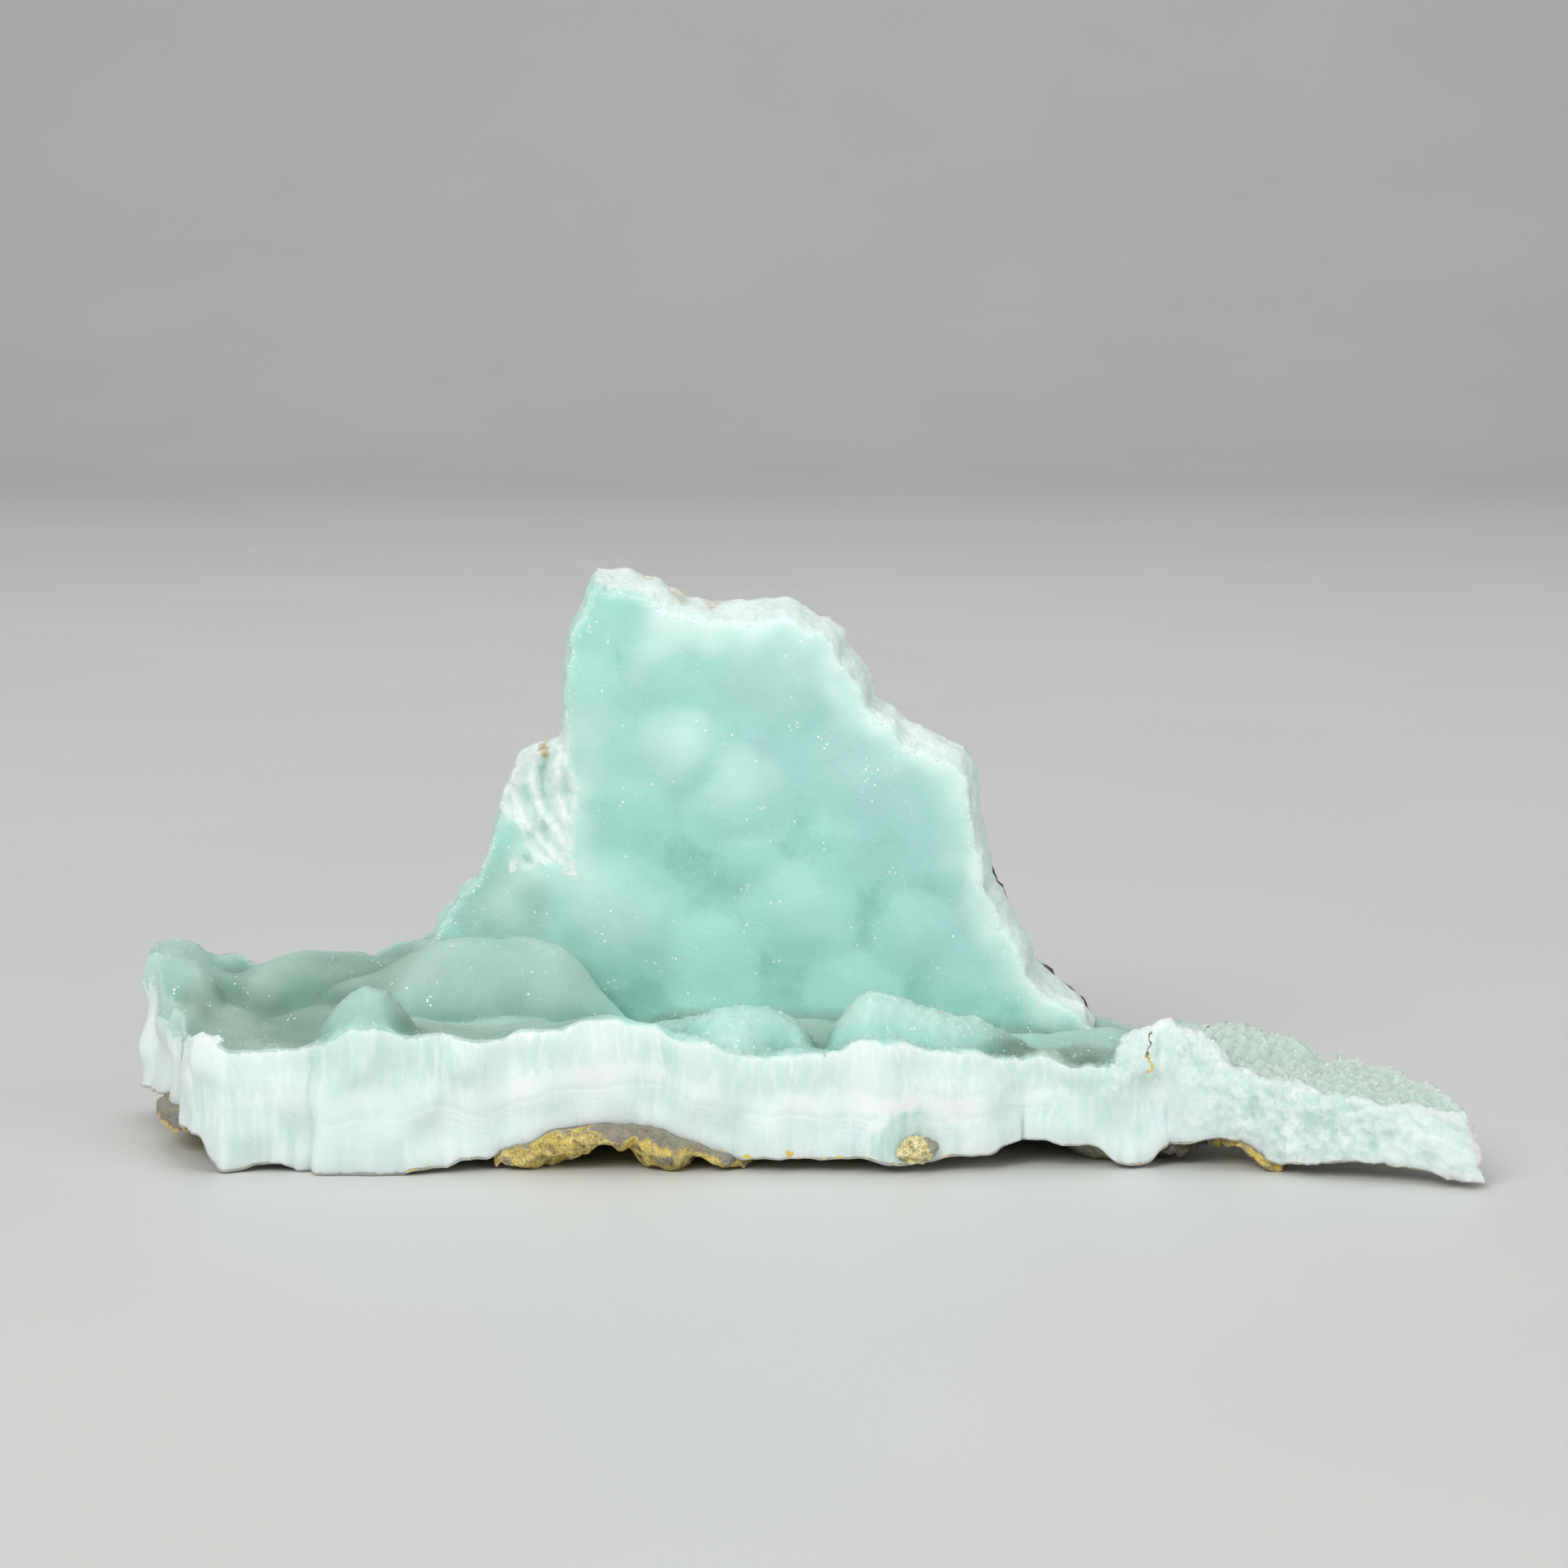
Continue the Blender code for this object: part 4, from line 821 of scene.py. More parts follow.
def edge_rings(outline, near, far, spacing, rows, relief, broken, seed, rounded=False):
    """The rings of points round a plate, from the lip of its near face to the lip of its far face."""
    run, places = fine_run(outline, spacing)
    normal = outward(run[:, :2], max(1, round(1.2 / spacing)))
    bulge = wander(places, (OUTLINE_SWELL[0] * broken, OUTLINE_SWELL[1]), seed)
    far_loop = run[:, :2] + normal * bulge[:, None]
    near_loop = far_loop - normal * run[:, 2:3] * (WALL_SET_BACK if rounded else 1.0)
    tops, bottoms = near(*near_loop.T), far(*far_loop.T)
    rings = []
    shares = np.linspace(0, 1, rows + 1)
    for share in shares:
        across = math.sin(share * math.pi / 2) if rounded else share
        ring = near_loop * (1 - across) + far_loop * across
        height = tops * (1 - share) + bottoms * share
        fade = min(1.0, rows * share / 4, 4 * share, 4 * (1 - share))
        out = fade * swell(places, height, (FRACTURE_SWELL[0] * broken, FRACTURE_SWELL[1]), seed + 1)
        out = out + relief(ring[:, 0], ring[:, 1], places, height, share)
        ring = ring + normal * out[:, None]
        rings.append(untangled(ring) if share in (0.0, 1.0) else ring)
    tops, bottoms = near(*rings[0].T), far(*rings[-1].T)
    ragged = wander(places, LIP_SWELL, seed + 2) + np.abs(wander(places, LIP_RIDGES, seed + 3))
    tops = tops + broken * ragged
    if rounded:
        shares = (shares + 1 - np.cos(shares * math.pi / 2)) / 2
    return rings, [tops * (1 - share) + bottoms * share for share in shares]


class Plate:
    """A closed plate of triangles between a near and a far surface over an outline.

    points are u, v and height. On each point: layer is 1 on the near face and falls to 0 on the far one,
    face is 0 on the near face, 1 on the broken edge and 2 on the far face, and gap is the distance in
    from the near lip.
    """

    def __init__(self, outline, near, far, sizes, rows, relief, broken, seed, rounded=False):
        random = np.random.default_rng(seed)
        rings, heights = edge_rings(outline, near, far, sizes[0], rows, relief, broken, seed, rounded)
        count = len(rings[0])
        near_points, near_faces, gaps = fill(rings[0], sizes[1], random)
        far_points, far_faces, _ = fill(rings[-1], sizes[2], random)
        near_inner, far_inner = near_points[count:], far_points[count:]
        first_near, first_far = (rows + 1) * count, (rows + 1) * count + len(near_inner)
        flat = np.concatenate(rings + [near_inner, far_inner])
        height = np.concatenate(heights + [near(*near_inner.T), far(*far_inner.T)])
        self.points = np.column_stack([flat, height])

        near_faces = np.where(near_faces < count, near_faces, near_faces - count + first_near)
        far_faces = np.where(far_faces < count, far_faces + rows * count, far_faces - count + first_far)
        upper = (np.arange(rows)[:, None] * count + np.arange(count)).ravel()
        after = (np.arange(rows)[:, None] * count + (np.arange(count) + 1) % count).ravel()
        sides = [
            np.column_stack([upper, upper + count, after + count]),
            np.column_stack([upper, after + count, after]),
        ]
        self.faces = np.concatenate([near_faces, far_faces[:, ::-1], *sides])

        shares = np.repeat(np.linspace(1, 0, rows + 1), count)
        self.layer = np.concatenate([shares, np.ones(len(near_inner)), np.zeros(len(far_inner))])
        kinds = np.repeat([0.0] + [1.0] * (rows - 1) + [2.0], count)
        self.face = np.concatenate([kinds, np.zeros(len(near_inner)), np.full(len(far_inner), 2.0)])
        self.gap = np.concatenate([np.zeros((rows + 1) * count), gaps[count:], np.zeros(len(far_inner))])


def crown(surface, u, v, reach):
    """How far a surface's height is above its mean on a circle around each point."""
    around = [
        surface(u + reach * math.cos(angle), v + reach * math.sin(angle))
        for angle in np.linspace(0, 2 * math.pi, 8, endpoint=False)
    ]
    return surface(u, v) - np.mean(around, axis=0)


def lying(points):
    """u, v and height of a plate in plan, as x, y, z."""
    return points


def standing(points):
    """u, v and height of a plate seen from the front, as x, y, z."""
    return points[:, [0, 2, 1]]


def stains_at(points):
    """How strongly each point is stained, from 0 to 1."""
    found = np.zeros(len(points))
    for x, y, z, radius, strength in STAINS:
        away = (((points - (x, y, z)) * (1, 0.25, 1)) ** 2).sum(1) / radius**2
        found = np.maximum(found, strength * step(-away, -1.5, -0.2))
    return found


def skin_fields(surface, u, v, form):
    """The values that colour the growth surface, at points of the floor or of the wall."""
    if surface == "floor":
        height = form(u, v)
        # Painted shade: the floor is darkened with the film colour in the crease where it meets the wall's
        # foot.
        crevice_shade = step(v - wall_form(u, height), -1.6, 0.2) * step(-v, -12.0, -8.0)
        bare = step(height, 9.2, 10.4) * plateau(u, -15.0, -12.0, 18.5, 21.0)
        return {
            "crown": 0.75 * crown(form, u, v, CROWN_REACH) + tones(FLOOR_TONES, u, v),
            "film": np.maximum(patches(FILM_PATCHES, u, v) * (1 - 0.45 * bare), 0.8 * crevice_shade),
            "haze": np.zeros(len(u)),
            "coarse": patches(COARSE_PATCHES, u, v),
            "grainy": patches(GRAINY_PATCHES, u, v),
            "skin": 1 - patches(FLOOR_BREAKS, u, v),
        }
    tongues = swell(u, 0.25 * v, (1.0, 0.8), 125) * step(-v, -28.0, -24.0)
    inside = step(chip_inside(u, v) + tongues, -1.3, 0.9)
    mounds = 0.12 * wall_mounds(u, v) + 0.46 * wall_discs(u, v) - 0.36
    mounds = (mounds + tones(WALL_TONES, u, v)) * (1 - inside)
    # Painted shade: the wall's foot is darkened with the film colour where the floor rises against it.
    crevice_shade = step(floor_form(u, form(u, v)) - v, -1.6, 0.2)
    return {
        # Inside the chip the crown field follows the scoops, so that their hollows take the deeper colours as
        # painted shade.
        "crown": mounds - inside**2 * crown(chip_depth, u, v, SCOOP_WIDTH / 2),
        "film": np.maximum(patches(WALL_FILMS, u, v), 0.7 * crevice_shade),
        "haze": patches(WALL_HAZES, u, v),
        "coarse": np.zeros(len(u)),
        "grainy": np.zeros(len(u)),
        "skin": 1 - inside,
    }


def frost_at(surface, u, v, gap):
    """How white the growth surface is near its lip: much on the wall's top and right, little elsewhere."""
    if surface == "floor":
        faded = 0.35 * step(-gap, -2.8, 0.0) * plateau(u, -13.0, -8.0, 2.0, 8.0)
        return np.maximum(0.25 * step(-gap, -0.9, 0.0), faded)
    thin_edge = np.clip((v - 6.0) / 5.0, 0, 1) * step(u - 0.25 * (v - 33.0), -16.5, -13.5)
    wide = step(-gap + turned_swell(u, v, (1.1, 2.2), 126), -3.7, 0.3)
    bruised = 0.55 * step(chip_inside(u, v) + turned_swell(u, v, (1.0, 1.6), 129), -4.6, 1.0)
    return np.maximum(bruised, 0.88 * wide * thin_edge + 0.25 * step(-gap, -0.8, 0.0) * (1 - thin_edge))


def floor_fields(plate):
    x, y, z = plate.points.T
    fields = skin_fields("floor", x, y, floor_form)
    on_edge = plate.face == 1
    wrapped = 0.95 * step(-x, 48.5, 50.5) * step(y, -15.5, -12.0) * step(plate.layer, 0.55, 0.95) * on_edge
    fields["skin"] = fields["skin"] * (plate.face == 0) + wrapped
    fields["film"] = fields["film"] * np.where(plate.face == 0, 1.0, 0.7)
    edge = step(y, 4.0, 6.0) * step(plate.layer, 0.12, 0.5) * on_edge
    fields["back"] = np.maximum(edge, step(y - wall_back(x, z), -0.8, -0.2) * step(z, 3.0, 5.0))
    fields["back"] = fields["back"] * plateau(x, -32.5, -30.5, 26.0, 29.0)
    fields["upright"] = np.ones(len(x))
    fields["clear"] = patches(CLEAR_PATCHES, x, z) * (y < -8.0) * on_edge
    flanks = plateau(np.abs(x - KNOB_TOP[0]), 0.3, 1.4, 4.0, 5.5) * step(plate.layer, 0.55, 0.8)
    fields["sugar"] = np.maximum(step(x, 30.0, 36.0) * (1 - 0.75 * step(x, 45.0, 52.5)), 0.8 * flanks)
    fields["frost"] = np.maximum(frost_at("floor", x, y, plate.gap) * step(x, -50.0, -47.0), 0.35 * wrapped)
    return fields


def wall_fields(plate):
    x, z, _ = plate.points.T
    fields = skin_fields("wall", x, z, wall_form)
    wrapped = step(plate.layer + swell(x, z, (0.25, 3.0), 128), -0.15, 0.35)
    grown_over = np.maximum(0.7 * step(plate.layer, 0.6, 1.0), 0.85 * step(-x, 15.5, 17.5) * wrapped)
    fields["skin"] = fields["skin"] * np.where(plate.face == 0, 1, grown_over)
    fields["upright"] = np.where(chip_inside(x, z) > 0, 0.35, 0.0) * (plate.face == 0)
    fields["clear"] = np.zeros(len(x))
    fields["sugar"] = np.where(plate.face == 0, 0.0, 0.6)
    fields["frost"] = frost_at("wall", x, z, plate.gap)
    return fields


def mesh_object(name, points, faces, fields, look, smooth=False):
    """A mesh object, from points in millimetres, with a value of each field on every point."""
    mesh = bpy.data.meshes.new(name)
    mesh.vertices.add(len(points))
    mesh.vertices.foreach_set("co", to_frame(points).astype(np.float32).ravel())
    mesh.loops.add(faces.size)
    mesh.loops.foreach_set("vertex_index", faces.astype(np.int32).ravel())
    mesh.polygons.add(len(faces))
    mesh.polygons.foreach_set("loop_start", np.arange(0, faces.size, 3, dtype=np.int32))
    mesh.update(calc_edges=True)
    if mesh.validate():
        raise ValueError(f"{name} has a broken face")
    for field, values in fields.items():
        attribute = mesh.attributes.new(field, "FLOAT", "POINT")
        attribute.data.foreach_set("value", np.asarray(values, np.float32))
    mesh.polygons.foreach_set("use_smooth", np.broadcast_to(smooth, len(faces)).copy())
    mesh.materials.append(look)
    return new_object(name, mesh)


def attach(piece, replaced=None):
    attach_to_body(piece, BODY)
    if replaced:
        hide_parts(replaced)


def silky(plate, sugary):
    """Which faces are smooth: all of the near face and of the edge but for the sugary points."""
    soft = (plate.face < 2) & ~sugary
    return soft[plate.faces].all(axis=1)


def plate_object(name, plate, to_space, fields, look, smooth=False):
    points = to_space(plate.points)
    fields = dict(fields, layer=plate.layer, stain=stains_at(points), known=np.ones(len(points)))
    fields["back"] = np.where(plate.face == 2, 1.0, fields.get("back", 0.0))
    return mesh_object(name, points, plate.faces, fields, look, smooth)


def mend_fields(mesh):
    """Gives the points that a join has added the fields of the nearest point that was there before."""
    places = np.empty((len(mesh.vertices), 3), np.float32)
    mesh.vertices.foreach_get("co", places.ravel())
    fields = [kept for kept in mesh.attributes if kept.domain == "POINT" and kept.data_type == "FLOAT"]
    values = np.empty((len(fields), len(places)), np.float32)
    for row, kept in zip(values, fields):
        kept.data.foreach_get("value", row)
    known = values[[kept.name for kept in fields].index("known")] > 0.5
    before = near_tree(places[known], np.flatnonzero(known))
    added = np.flatnonzero(~known)
    values[:, added] = values[:, [before.find(places[index])[1] for index in added]]
    for row, kept in zip(values, fields):
        kept.data.foreach_set("value", row)


def join_to(body, other):
    """Joins another closed mesh into the body, and removes it."""
    modifier = body.modifiers.new("join", "BOOLEAN")
    modifier.operation = "UNION"
    modifier.solver = "MANIFOLD"
    modifier.object = other
    graph = bpy.context.evaluated_depsgraph_get()
    joined = bpy.data.meshes.new_from_object(body.evaluated_get(graph))
    if len(joined.polygons) < len(body.data.polygons) / 2:
        raise ValueError("the two meshes didn't join")
    body.modifiers.remove(modifier)
    mend_fields(joined)
    body.data = joined
    bpy.data.objects.remove(other)


class Value:
    """An output of a shader node. Sums, products and comparisons of values add maths nodes to its tree."""

    def __init__(self, tree, socket):
        self.tree = tree
        self.socket = socket

    def __add__(self, other):
        return maths("ADD", self, other)

    def __sub__(self, other):
        return maths("SUBTRACT", self, other)

    def __rsub__(self, other):
        return maths("SUBTRACT", other, self)

    def __mul__(self, other):
        return maths("MULTIPLY", self, other)

    def __truediv__(self, other):
        return maths("DIVIDE", self, other)

    def __lt__(self, other):
        return maths("LESS_THAN", self, other)

    def __gt__(self, other):
        return maths("GREATER_THAN", self, other)

    def __abs__(self):
        return maths("ABSOLUTE", self)


def node(tree, kind, inputs=(), output=0, **settings):
    """Adds a shader node, links or sets its inputs, and gives back one of its outputs."""
    made = tree.nodes.new(kind)
    for name, value in settings.items():
        setattr(made, name, value)
    fill_sockets(tree, made, dict(inputs))
    return Value(tree, made.outputs[output])


def fill_sockets(tree, made, inputs):
    """Links each input of a node to its value, or sets it on the socket."""
    for name, value in inputs.items():
        if isinstance(value, Value):
            tree.links.new(value.socket, made.inputs[name])
        else:
            made.inputs[name].default_value = value


def maths(operation, first, second=0.0):
    tree = (first if isinstance(first, Value) else second).tree
    return node(tree, "ShaderNodeMath", {0: first, 1: second}, operation=operation)


def larger(first, second):
    return maths("MAXIMUM", first, second)


def scaled(value, factor, shift):
    """A value times a factor, plus a shift."""
    return node(value.tree, "ShaderNodeMath", {0: value, 1: factor, 2: shift}, operation="MULTIPLY_ADD")


def clamped(value):
    """The same value, kept between 0 and 1 by its own node."""
    value.socket.node.use_clamp = True
    return value


def mixed(share, first, second):
    """Two colours mixed by a share."""
    return node(share.tree, "ShaderNodeMix", {0: share, 6: first, 7: second}, 2, data_type="RGBA")


def mixed_value(share, first, second):
    """Two numbers mixed by a share."""
    return node(share.tree, "ShaderNodeMix", {0: share, 2: first, 3: second}, data_type="FLOAT")


def ranged(value, low, high, to_low=0.0, to_high=1.0):
    """A value's range from low to high, eased onto another range."""
    inputs = {"Value": value, "From Min": low, "From Max": high, "To Min": to_low, "To Max": to_high}
    return node(value.tree, "ShaderNodeMapRange", inputs, interpolation_type="SMOOTHSTEP")


def swing(blotches, to_low, to_high):
    """Noise eased onto a range, from its usual low to its usual high."""
    return ranged(blotches, 0.3, 0.7, to_low, to_high)


def field(place, name):
    """The value of a point field at a place."""
    return node(place.tree, "ShaderNodeAttribute", output=2, attribute_name=name)


def stretched(place, factors):
    return node(place.tree, "ShaderNodeVectorMath", {0: place, 1: factors}, operation="MULTIPLY")


def millimetres(tree, stretch=(1.0, 1.0, 1.0)):
    """Places on the object in millimetres, with each axis stretched."""
    return stretched(node(tree, "ShaderNodeTexCoord", output=3), [1.0 / MILLIMETRE * s for s in stretch])


def split(place):
    """The x, y and z of a place."""
    made = node(place.tree, "ShaderNodeSeparateXYZ", {0: place}).socket.node
    return [Value(place.tree, part) for part in made.outputs]


def distance_from(place, x, z):
    """How far a place is from a point, as seen from the front."""
    inputs = {0: millimetres(place.tree, (1.0, 0.0, 1.0)), 1: (x - BOX_CENTRE[0], 0.0, z)}
    return node(place.tree, "ShaderNodeVectorMath", inputs, 1, operation="DISTANCE")


def noise(place, size, detail=2.0, roughness=0.5):
    """Soft noise from 0 to 1 whose blotches are about a size apart in millimetres."""
    inputs = {"Vector": place, "Scale": 1.0 / size, "Detail": detail, "Roughness": roughness}
    return node(place.tree, "ShaderNodeTexNoise", inputs)


def grains(place, size, output="Distance"):
    """Cells a size across in millimetres: the distance to their middles, or a colour for each."""
    return node(place.tree, "ShaderNodeTexVoronoi", {"Vector": place, "Scale": 1.0 / size}, output)


def grain_number(place, size, part=0):
    """A fixed number from 0 to 1 for each cell, which is one part of its colour."""
    return node(place.tree, "ShaderNodeSeparateColor", {"Color": grains(place, size, "Color")}, part)


def bump(height, depth, strength, onto=None):
    """Relief of a depth in millimetres, on top of another."""
    inputs = {"Height": height, "Distance": depth * MILLIMETRE, "Strength": strength}
    if onto is not None:
        inputs["Normal"] = onto
    return node(height.tree, "ShaderNodeBump", inputs)


def new_look(name):
    """A new material, the places on it, and its shader."""
    made = bpy.data.materials.new(name)
    made.use_nodes = True
    return made, millimetres(made.node_tree), made.node_tree.nodes["Principled BSDF"]


def painted_glints(place):
    """Painted glints: white spots painted into the colour where single crystal faces would flash, gathered in
    loose clusters.
    """
    cluster = ranged(noise(place, 2.4, 2.0, 0.6), 0.57, 0.74, 0.0015, 0.16)
    bright = grain_number(place, PAINTED_GLINT_SIZE) + cluster > 1.0
    return bright * ranged(grains(place, PAINTED_GLINT_SIZE), 0.5, 0.3, 0.0, 0.9)


def growth_colour(place, colours):
    """The velvety teal growth surface: deep in the hollows, pale on the crowns, greyer under its film, with
    painted shade in the crease at the wall's foot and painted glints.
    """
    cloud = noise(place, 4.5, 3.0, 0.5)
    mottle = swing(noise(place, 1.5, 3.0, 0.6), -0.03, 0.03)
    fleck = swing(noise(place, 0.5, 2.0, 0.6), -0.03, 0.03)
    level = clamped(scaled(field(place, "crown"), 0.6, 0.5) + swing(cloud, -0.09, 0.09) + mottle + fleck)
    colour = mixed(ranged(level, 0.0, 0.5), colours.growth_deep, colours.growth_middle)
    colour = mixed(ranged(level, 0.5, 1.0), colour, colours.growth_pale)
    colour = mixed(field(place, "haze") * swing(cloud, 0.5, 1.0), colour, colours.growth_haze)
    film = mixed(ranged(level, 0.05, 0.75), colours.film_deep, colours.growth_film)
    # The film field also carries painted shade in the crease where the floor and the wall meet.
    colour = mixed(field(place, "film"), colour, film)
    colour = mixed(ranged(field(place, "coarse"), 0.0, 1.0), colour, colours.druse_green)
    colour = mixed(field(place, "frost"), colour, colours.druse_white)
    # Painted glints: white spots where crystal faces would flash.
    return mixed(painted_glints(place), colour, colours.painted_glint)


def vein_share(place):
    """How much of the knob's vein of earth there is at a place."""
    x, y, z = split(place)
    slope = (VEIN_TOP[0] - VEIN_FOOT[0]) / (VEIN_TOP[1] - VEIN_FOOT[1])
    start = VEIN_FOOT[0] - slope * VEIN_FOOT[1] - BOX_CENTRE[0]
    middle = scaled(z, slope, start) + swing(noise(place, 1.1, 2.0, 0.6), -0.35, 0.35)
    thick = ranged(noise(place, 0.7, 2.0, 0.6), 0.35, 0.65, 0.35, 1.0)
    share = ranged(abs(x - middle) / thick, VEIN_WIDTH, 0.6 * VEIN_WIDTH)
    share = share * ranged(z, VEIN_FOOT[1] - 0.2, VEIN_FOOT[1] + 0.2)
    share = share * ranged(z, VEIN_TOP[1] + 0.1, VEIN_TOP[1] - 0.2)
    return share * (y < FRONT_DEPTH)


def spots_share(place):
    """How much ochre a place has, from the small spots along the foot of the front break."""
    ragged = swing(noise(place, 0.4, 2.0, 0.6), -0.14, 0.14)
    found = 0.0
    for x, z, radius in OCHRE_SPOTS:
        found = larger(ranged(distance_from(place, x, z) + ragged, radius, 0.7 * radius), found)
    return found * ((field(place, "layer") > 0.01) * (split(place)[1] < FRONT_DEPTH))


def pocket_shares(place):
    """How much of the clear pocket round the nodule, and of the white arch over it, there is at a place."""
    x, y, z = split(place)
    front = y < FRONT_DEPTH
    away = distance_from(place, *POCKET_MIDDLE) + swing(noise(place, 1.2, 3.0, 0.6), -0.35, 0.35)
    low, high = POCKET_ARCH
    arch = ranged(away, low - 0.3, low + 0.1) * ranged(away, high + 0.5, high - 0.2)
    arch = arch * ranged(z, POCKET_MIDDLE[1] + 1.4, POCKET_MIDDLE[1] + 2.4, 0.0, 0.9)
    pocket = ranged(away, low + 0.1, low - 0.7) * ranged(x, *POCKET_SIDE, 0.2, 1.0)
    return pocket * front, arch * front


def break_fibres(place):
    """The fibres of the floor's break, long and leaning a little, and the shorter ones of the wall's."""
    lean = node(place.tree, "ShaderNodeCombineXYZ", {0: noise(place, 5.0, 1.0)})
    leaning = node(place.tree, "ShaderNodeVectorMath", {0: place, 1: lean}, operation="ADD")
    floor_fibres = noise(stretched(leaning, (1.0, 1.0, 0.16)), 0.55, 5.0, 0.62)
    return floor_fibres, noise(millimetres(place.tree, (1.0, 0.3, 1.0)), 0.7, 3.0, 0.6)


def white_share(place, layer, fibres, drift):
    """The white of the break: flames in its middle, a palisade at its top, growth bands and fine lines."""
    flames = noise(millimetres(place.tree, FLAT_STRETCH), 1.3, 2.0, 0.55)
    flame = ranged(flames - (layer - 0.58) * 1.6, 0.44, 0.54, 0.0, 0.85) * ranged(layer, 0.52, 0.56)
    palisade = ranged(flames - (1.0 - layer) * 1.9, 0.34, 0.46) * ranged(fibres, 0.44, 0.56, 0.2, 0.9)
    palisade = palisade * ranged(drift, 0.44, 0.56, 0.3, 1.0)
    middle = ranged(layer, 0.42, 0.48) * ranged(layer, 0.64, 0.55) * ranged(drift, 0.30, 0.45, 0.7, 1.0)
    lower = ranged(layer, 0.355, 0.37) * ranged(layer, 0.40, 0.385, 0.0, 0.65)
    lines = ranged(maths("SINE", layer * FINE_BANDS), 0.1, 0.9) * ranged(drift, 0.56, 0.44, 0.0, 0.5)
    lines = lines * ranged(layer, 0.50, 0.40) * ranged(layer, 0.20, 0.30, 0.1, 1.0)
    x = split(place)[0]
    banded = ranged(x, *BANDS_LEFT, 0.15, 1.0) * ranged(x, *BANDS_RIGHT, 0.1, 1.0)
    bands = larger(larger(middle, lines), lower) * banded
    return larger(larger(flame, palisade), bands)


def sugar_colour(place, colours):
    """The clear and white grains of the sugary breaks."""
    cells = grain_number(place, 0.8) + grain_number(place, 0.4, 1)
    grainy = ranged(cells * 0.55 + noise(place, 2.4, 3.0, 0.5) * 2.2, 1.3, 2.2)
    return mixed(grainy * 0.85, colours.sugar_clear, colours.break_white)


def break_colour(place, colours):
    """The fibrous break: silky white, aqua and blue fibres, with growth bands that follow the layers."""
    upright = field(place, "upright")
    floor_fibres, wall_fibres = break_fibres(place)
    fibres = mixed_value(upright, wall_fibres, floor_fibres)
    drift = noise(millimetres(place.tree, FLAT_STRETCH), 8.0, 2.0, 0.5)
    warp = noise(millimetres(place.tree, (1.0, 1.0, 0.1)), 6.0, 2.0, 0.5)
    layer = field(place, "layer") + ranged(warp, 0.2, 0.8, -0.07, 0.07)

    colour = mixed(ranged(layer, 0.42, 0.25), colours.break_body, colours.break_blue)
    aqua = ranged(layer, 0.50, 0.75) * ranged(drift, 0.36, 0.62, 0.1, 0.75)
    colour = mixed(aqua * ranged(fibres, 0.66, 0.38, 0.35, 1.0), colour, colours.break_aqua)
    colour = mixed(ranged(fibres, 0.50, 0.70, 0.0, 0.6), colour, colours.break_white)
    colour = mixed(white_share(place, layer, fibres, drift) * upright, colour, colours.break_white)
    pocket, arch = pocket_shares(place)
    clear = field(place, "clear") * ranged(fibres, 0.62, 0.40, 0.25, 0.9)
    clear = larger(clear, pocket * ranged(fibres, 0.62, 0.40, 0.5, 1.0))
    colour = mixed(clear, colour, colours.break_clear)
    colour = mixed(arch, colour, colours.break_white)
    rim = mixed(ranged(wall_fibres, 0.35, 0.6), colours.rim_shade, colours.rim_white)
    colour = mixed((1.0 - upright) * 0.9, colour, rim)
    colour = mixed(field(place, "sugar"), colour, sugar_colour(place, colours))
    # Painted shade: the break turns aqua where the crown field is low, most of all in the hollows of the
    # chip's scoops.
    hollow_shade = ranged(field(place, "crown"), 0.4, -0.7, 0.0, 0.5)
    colour = mixed(hollow_shade, colour, colours.break_aqua)
    foot = field(place, "layer") + swing(noise(place, 0.9, 3.0, 0.6), -0.01, 0.03)
    return mixed(ranged(foot, 0.03, 0.0, 0.0, 0.8), colour, colours.foot_film), fibres


def attachment_colour(place, colours):
    """The old attachment surface: grey crust with brown and ochre earth in its hollows."""
    blotch = noise(place, 3.0, 4.0, 0.6)
    earth = noise(place, 1.1, 4.0, 0.65)
    colour = mixed(ranged(blotch, 0.32, 0.70), colours.attachment, colours.rind_brown)
    return mixed(ranged(earth, 0.50, 0.72, 0.0, 0.7), colour, colours.ochre)


def aragonite_look(colours):
    """One look for the whole crust: its growth surface, its breaks and its old attachment surface."""
    made, place, shader = new_look("aragonite_crust_look")
    fracture, fibres = break_colour(place, colours)
    ragged = ranged(noise(place, 0.5, 2.0, 0.6), 0.2, 0.8, -0.22, 0.22)
    skin = ranged(field(place, "skin") + ragged, 0.3, 0.75)
    colour = mixed(skin, fracture, growth_colour(place, colours))
    behind = field(place, "back") + swing(noise(place, 1.8, 4.0, 0.65), -0.3, 0.25)
    colour = mixed(ranged(behind, 0.35, 0.65), colour, attachment_colour(place, colours))
    stain = field(place, "stain")
    stain = ranged(stain + stain * swing(noise(place, 0.6, 3.0, 0.7), -0.45, 0.35), 0.15, 0.9)
    colour = mixed(stain, colour, colours.stain)
    colour = mixed(spots_share(place) * clamped(1.0 - skin), colour, colours.ochre)
    vein = mixed(ranged(split(place)[2], *VEIN_TURNS_DARK), colours.ochre, colours.rust)
    colour = mixed(vein_share(place), colour, vein)

    broken = 1.0 - skin
    rough = bump(grains(place, 0.30), 0.08, 0.45)
    rough = bump(fibres * broken, 0.45, 0.5, rough)
    rough = bump(grains(place, 0.75) * field(place, "sugar") * broken, 0.6, 0.5, rough)
    fill_sockets(place.tree, shader, {
        "Base Color": colour,
        "Roughness": ranged(skin, 0.0, 1.0, 0.6, 0.55),
        "Specular IOR Level": 0.36,
        "IOR": 1.53,
        "Subsurface Weight": 1.0,
        "Subsurface Radius": (1.0, 1.0, 1.0),
        "Subsurface Scale": GLOW_DEPTH * MILLIMETRE,
        "Normal": bump(noise(place, 0.2, 2.0, 0.6), 0.04, 0.3, rough),
    })
    return made


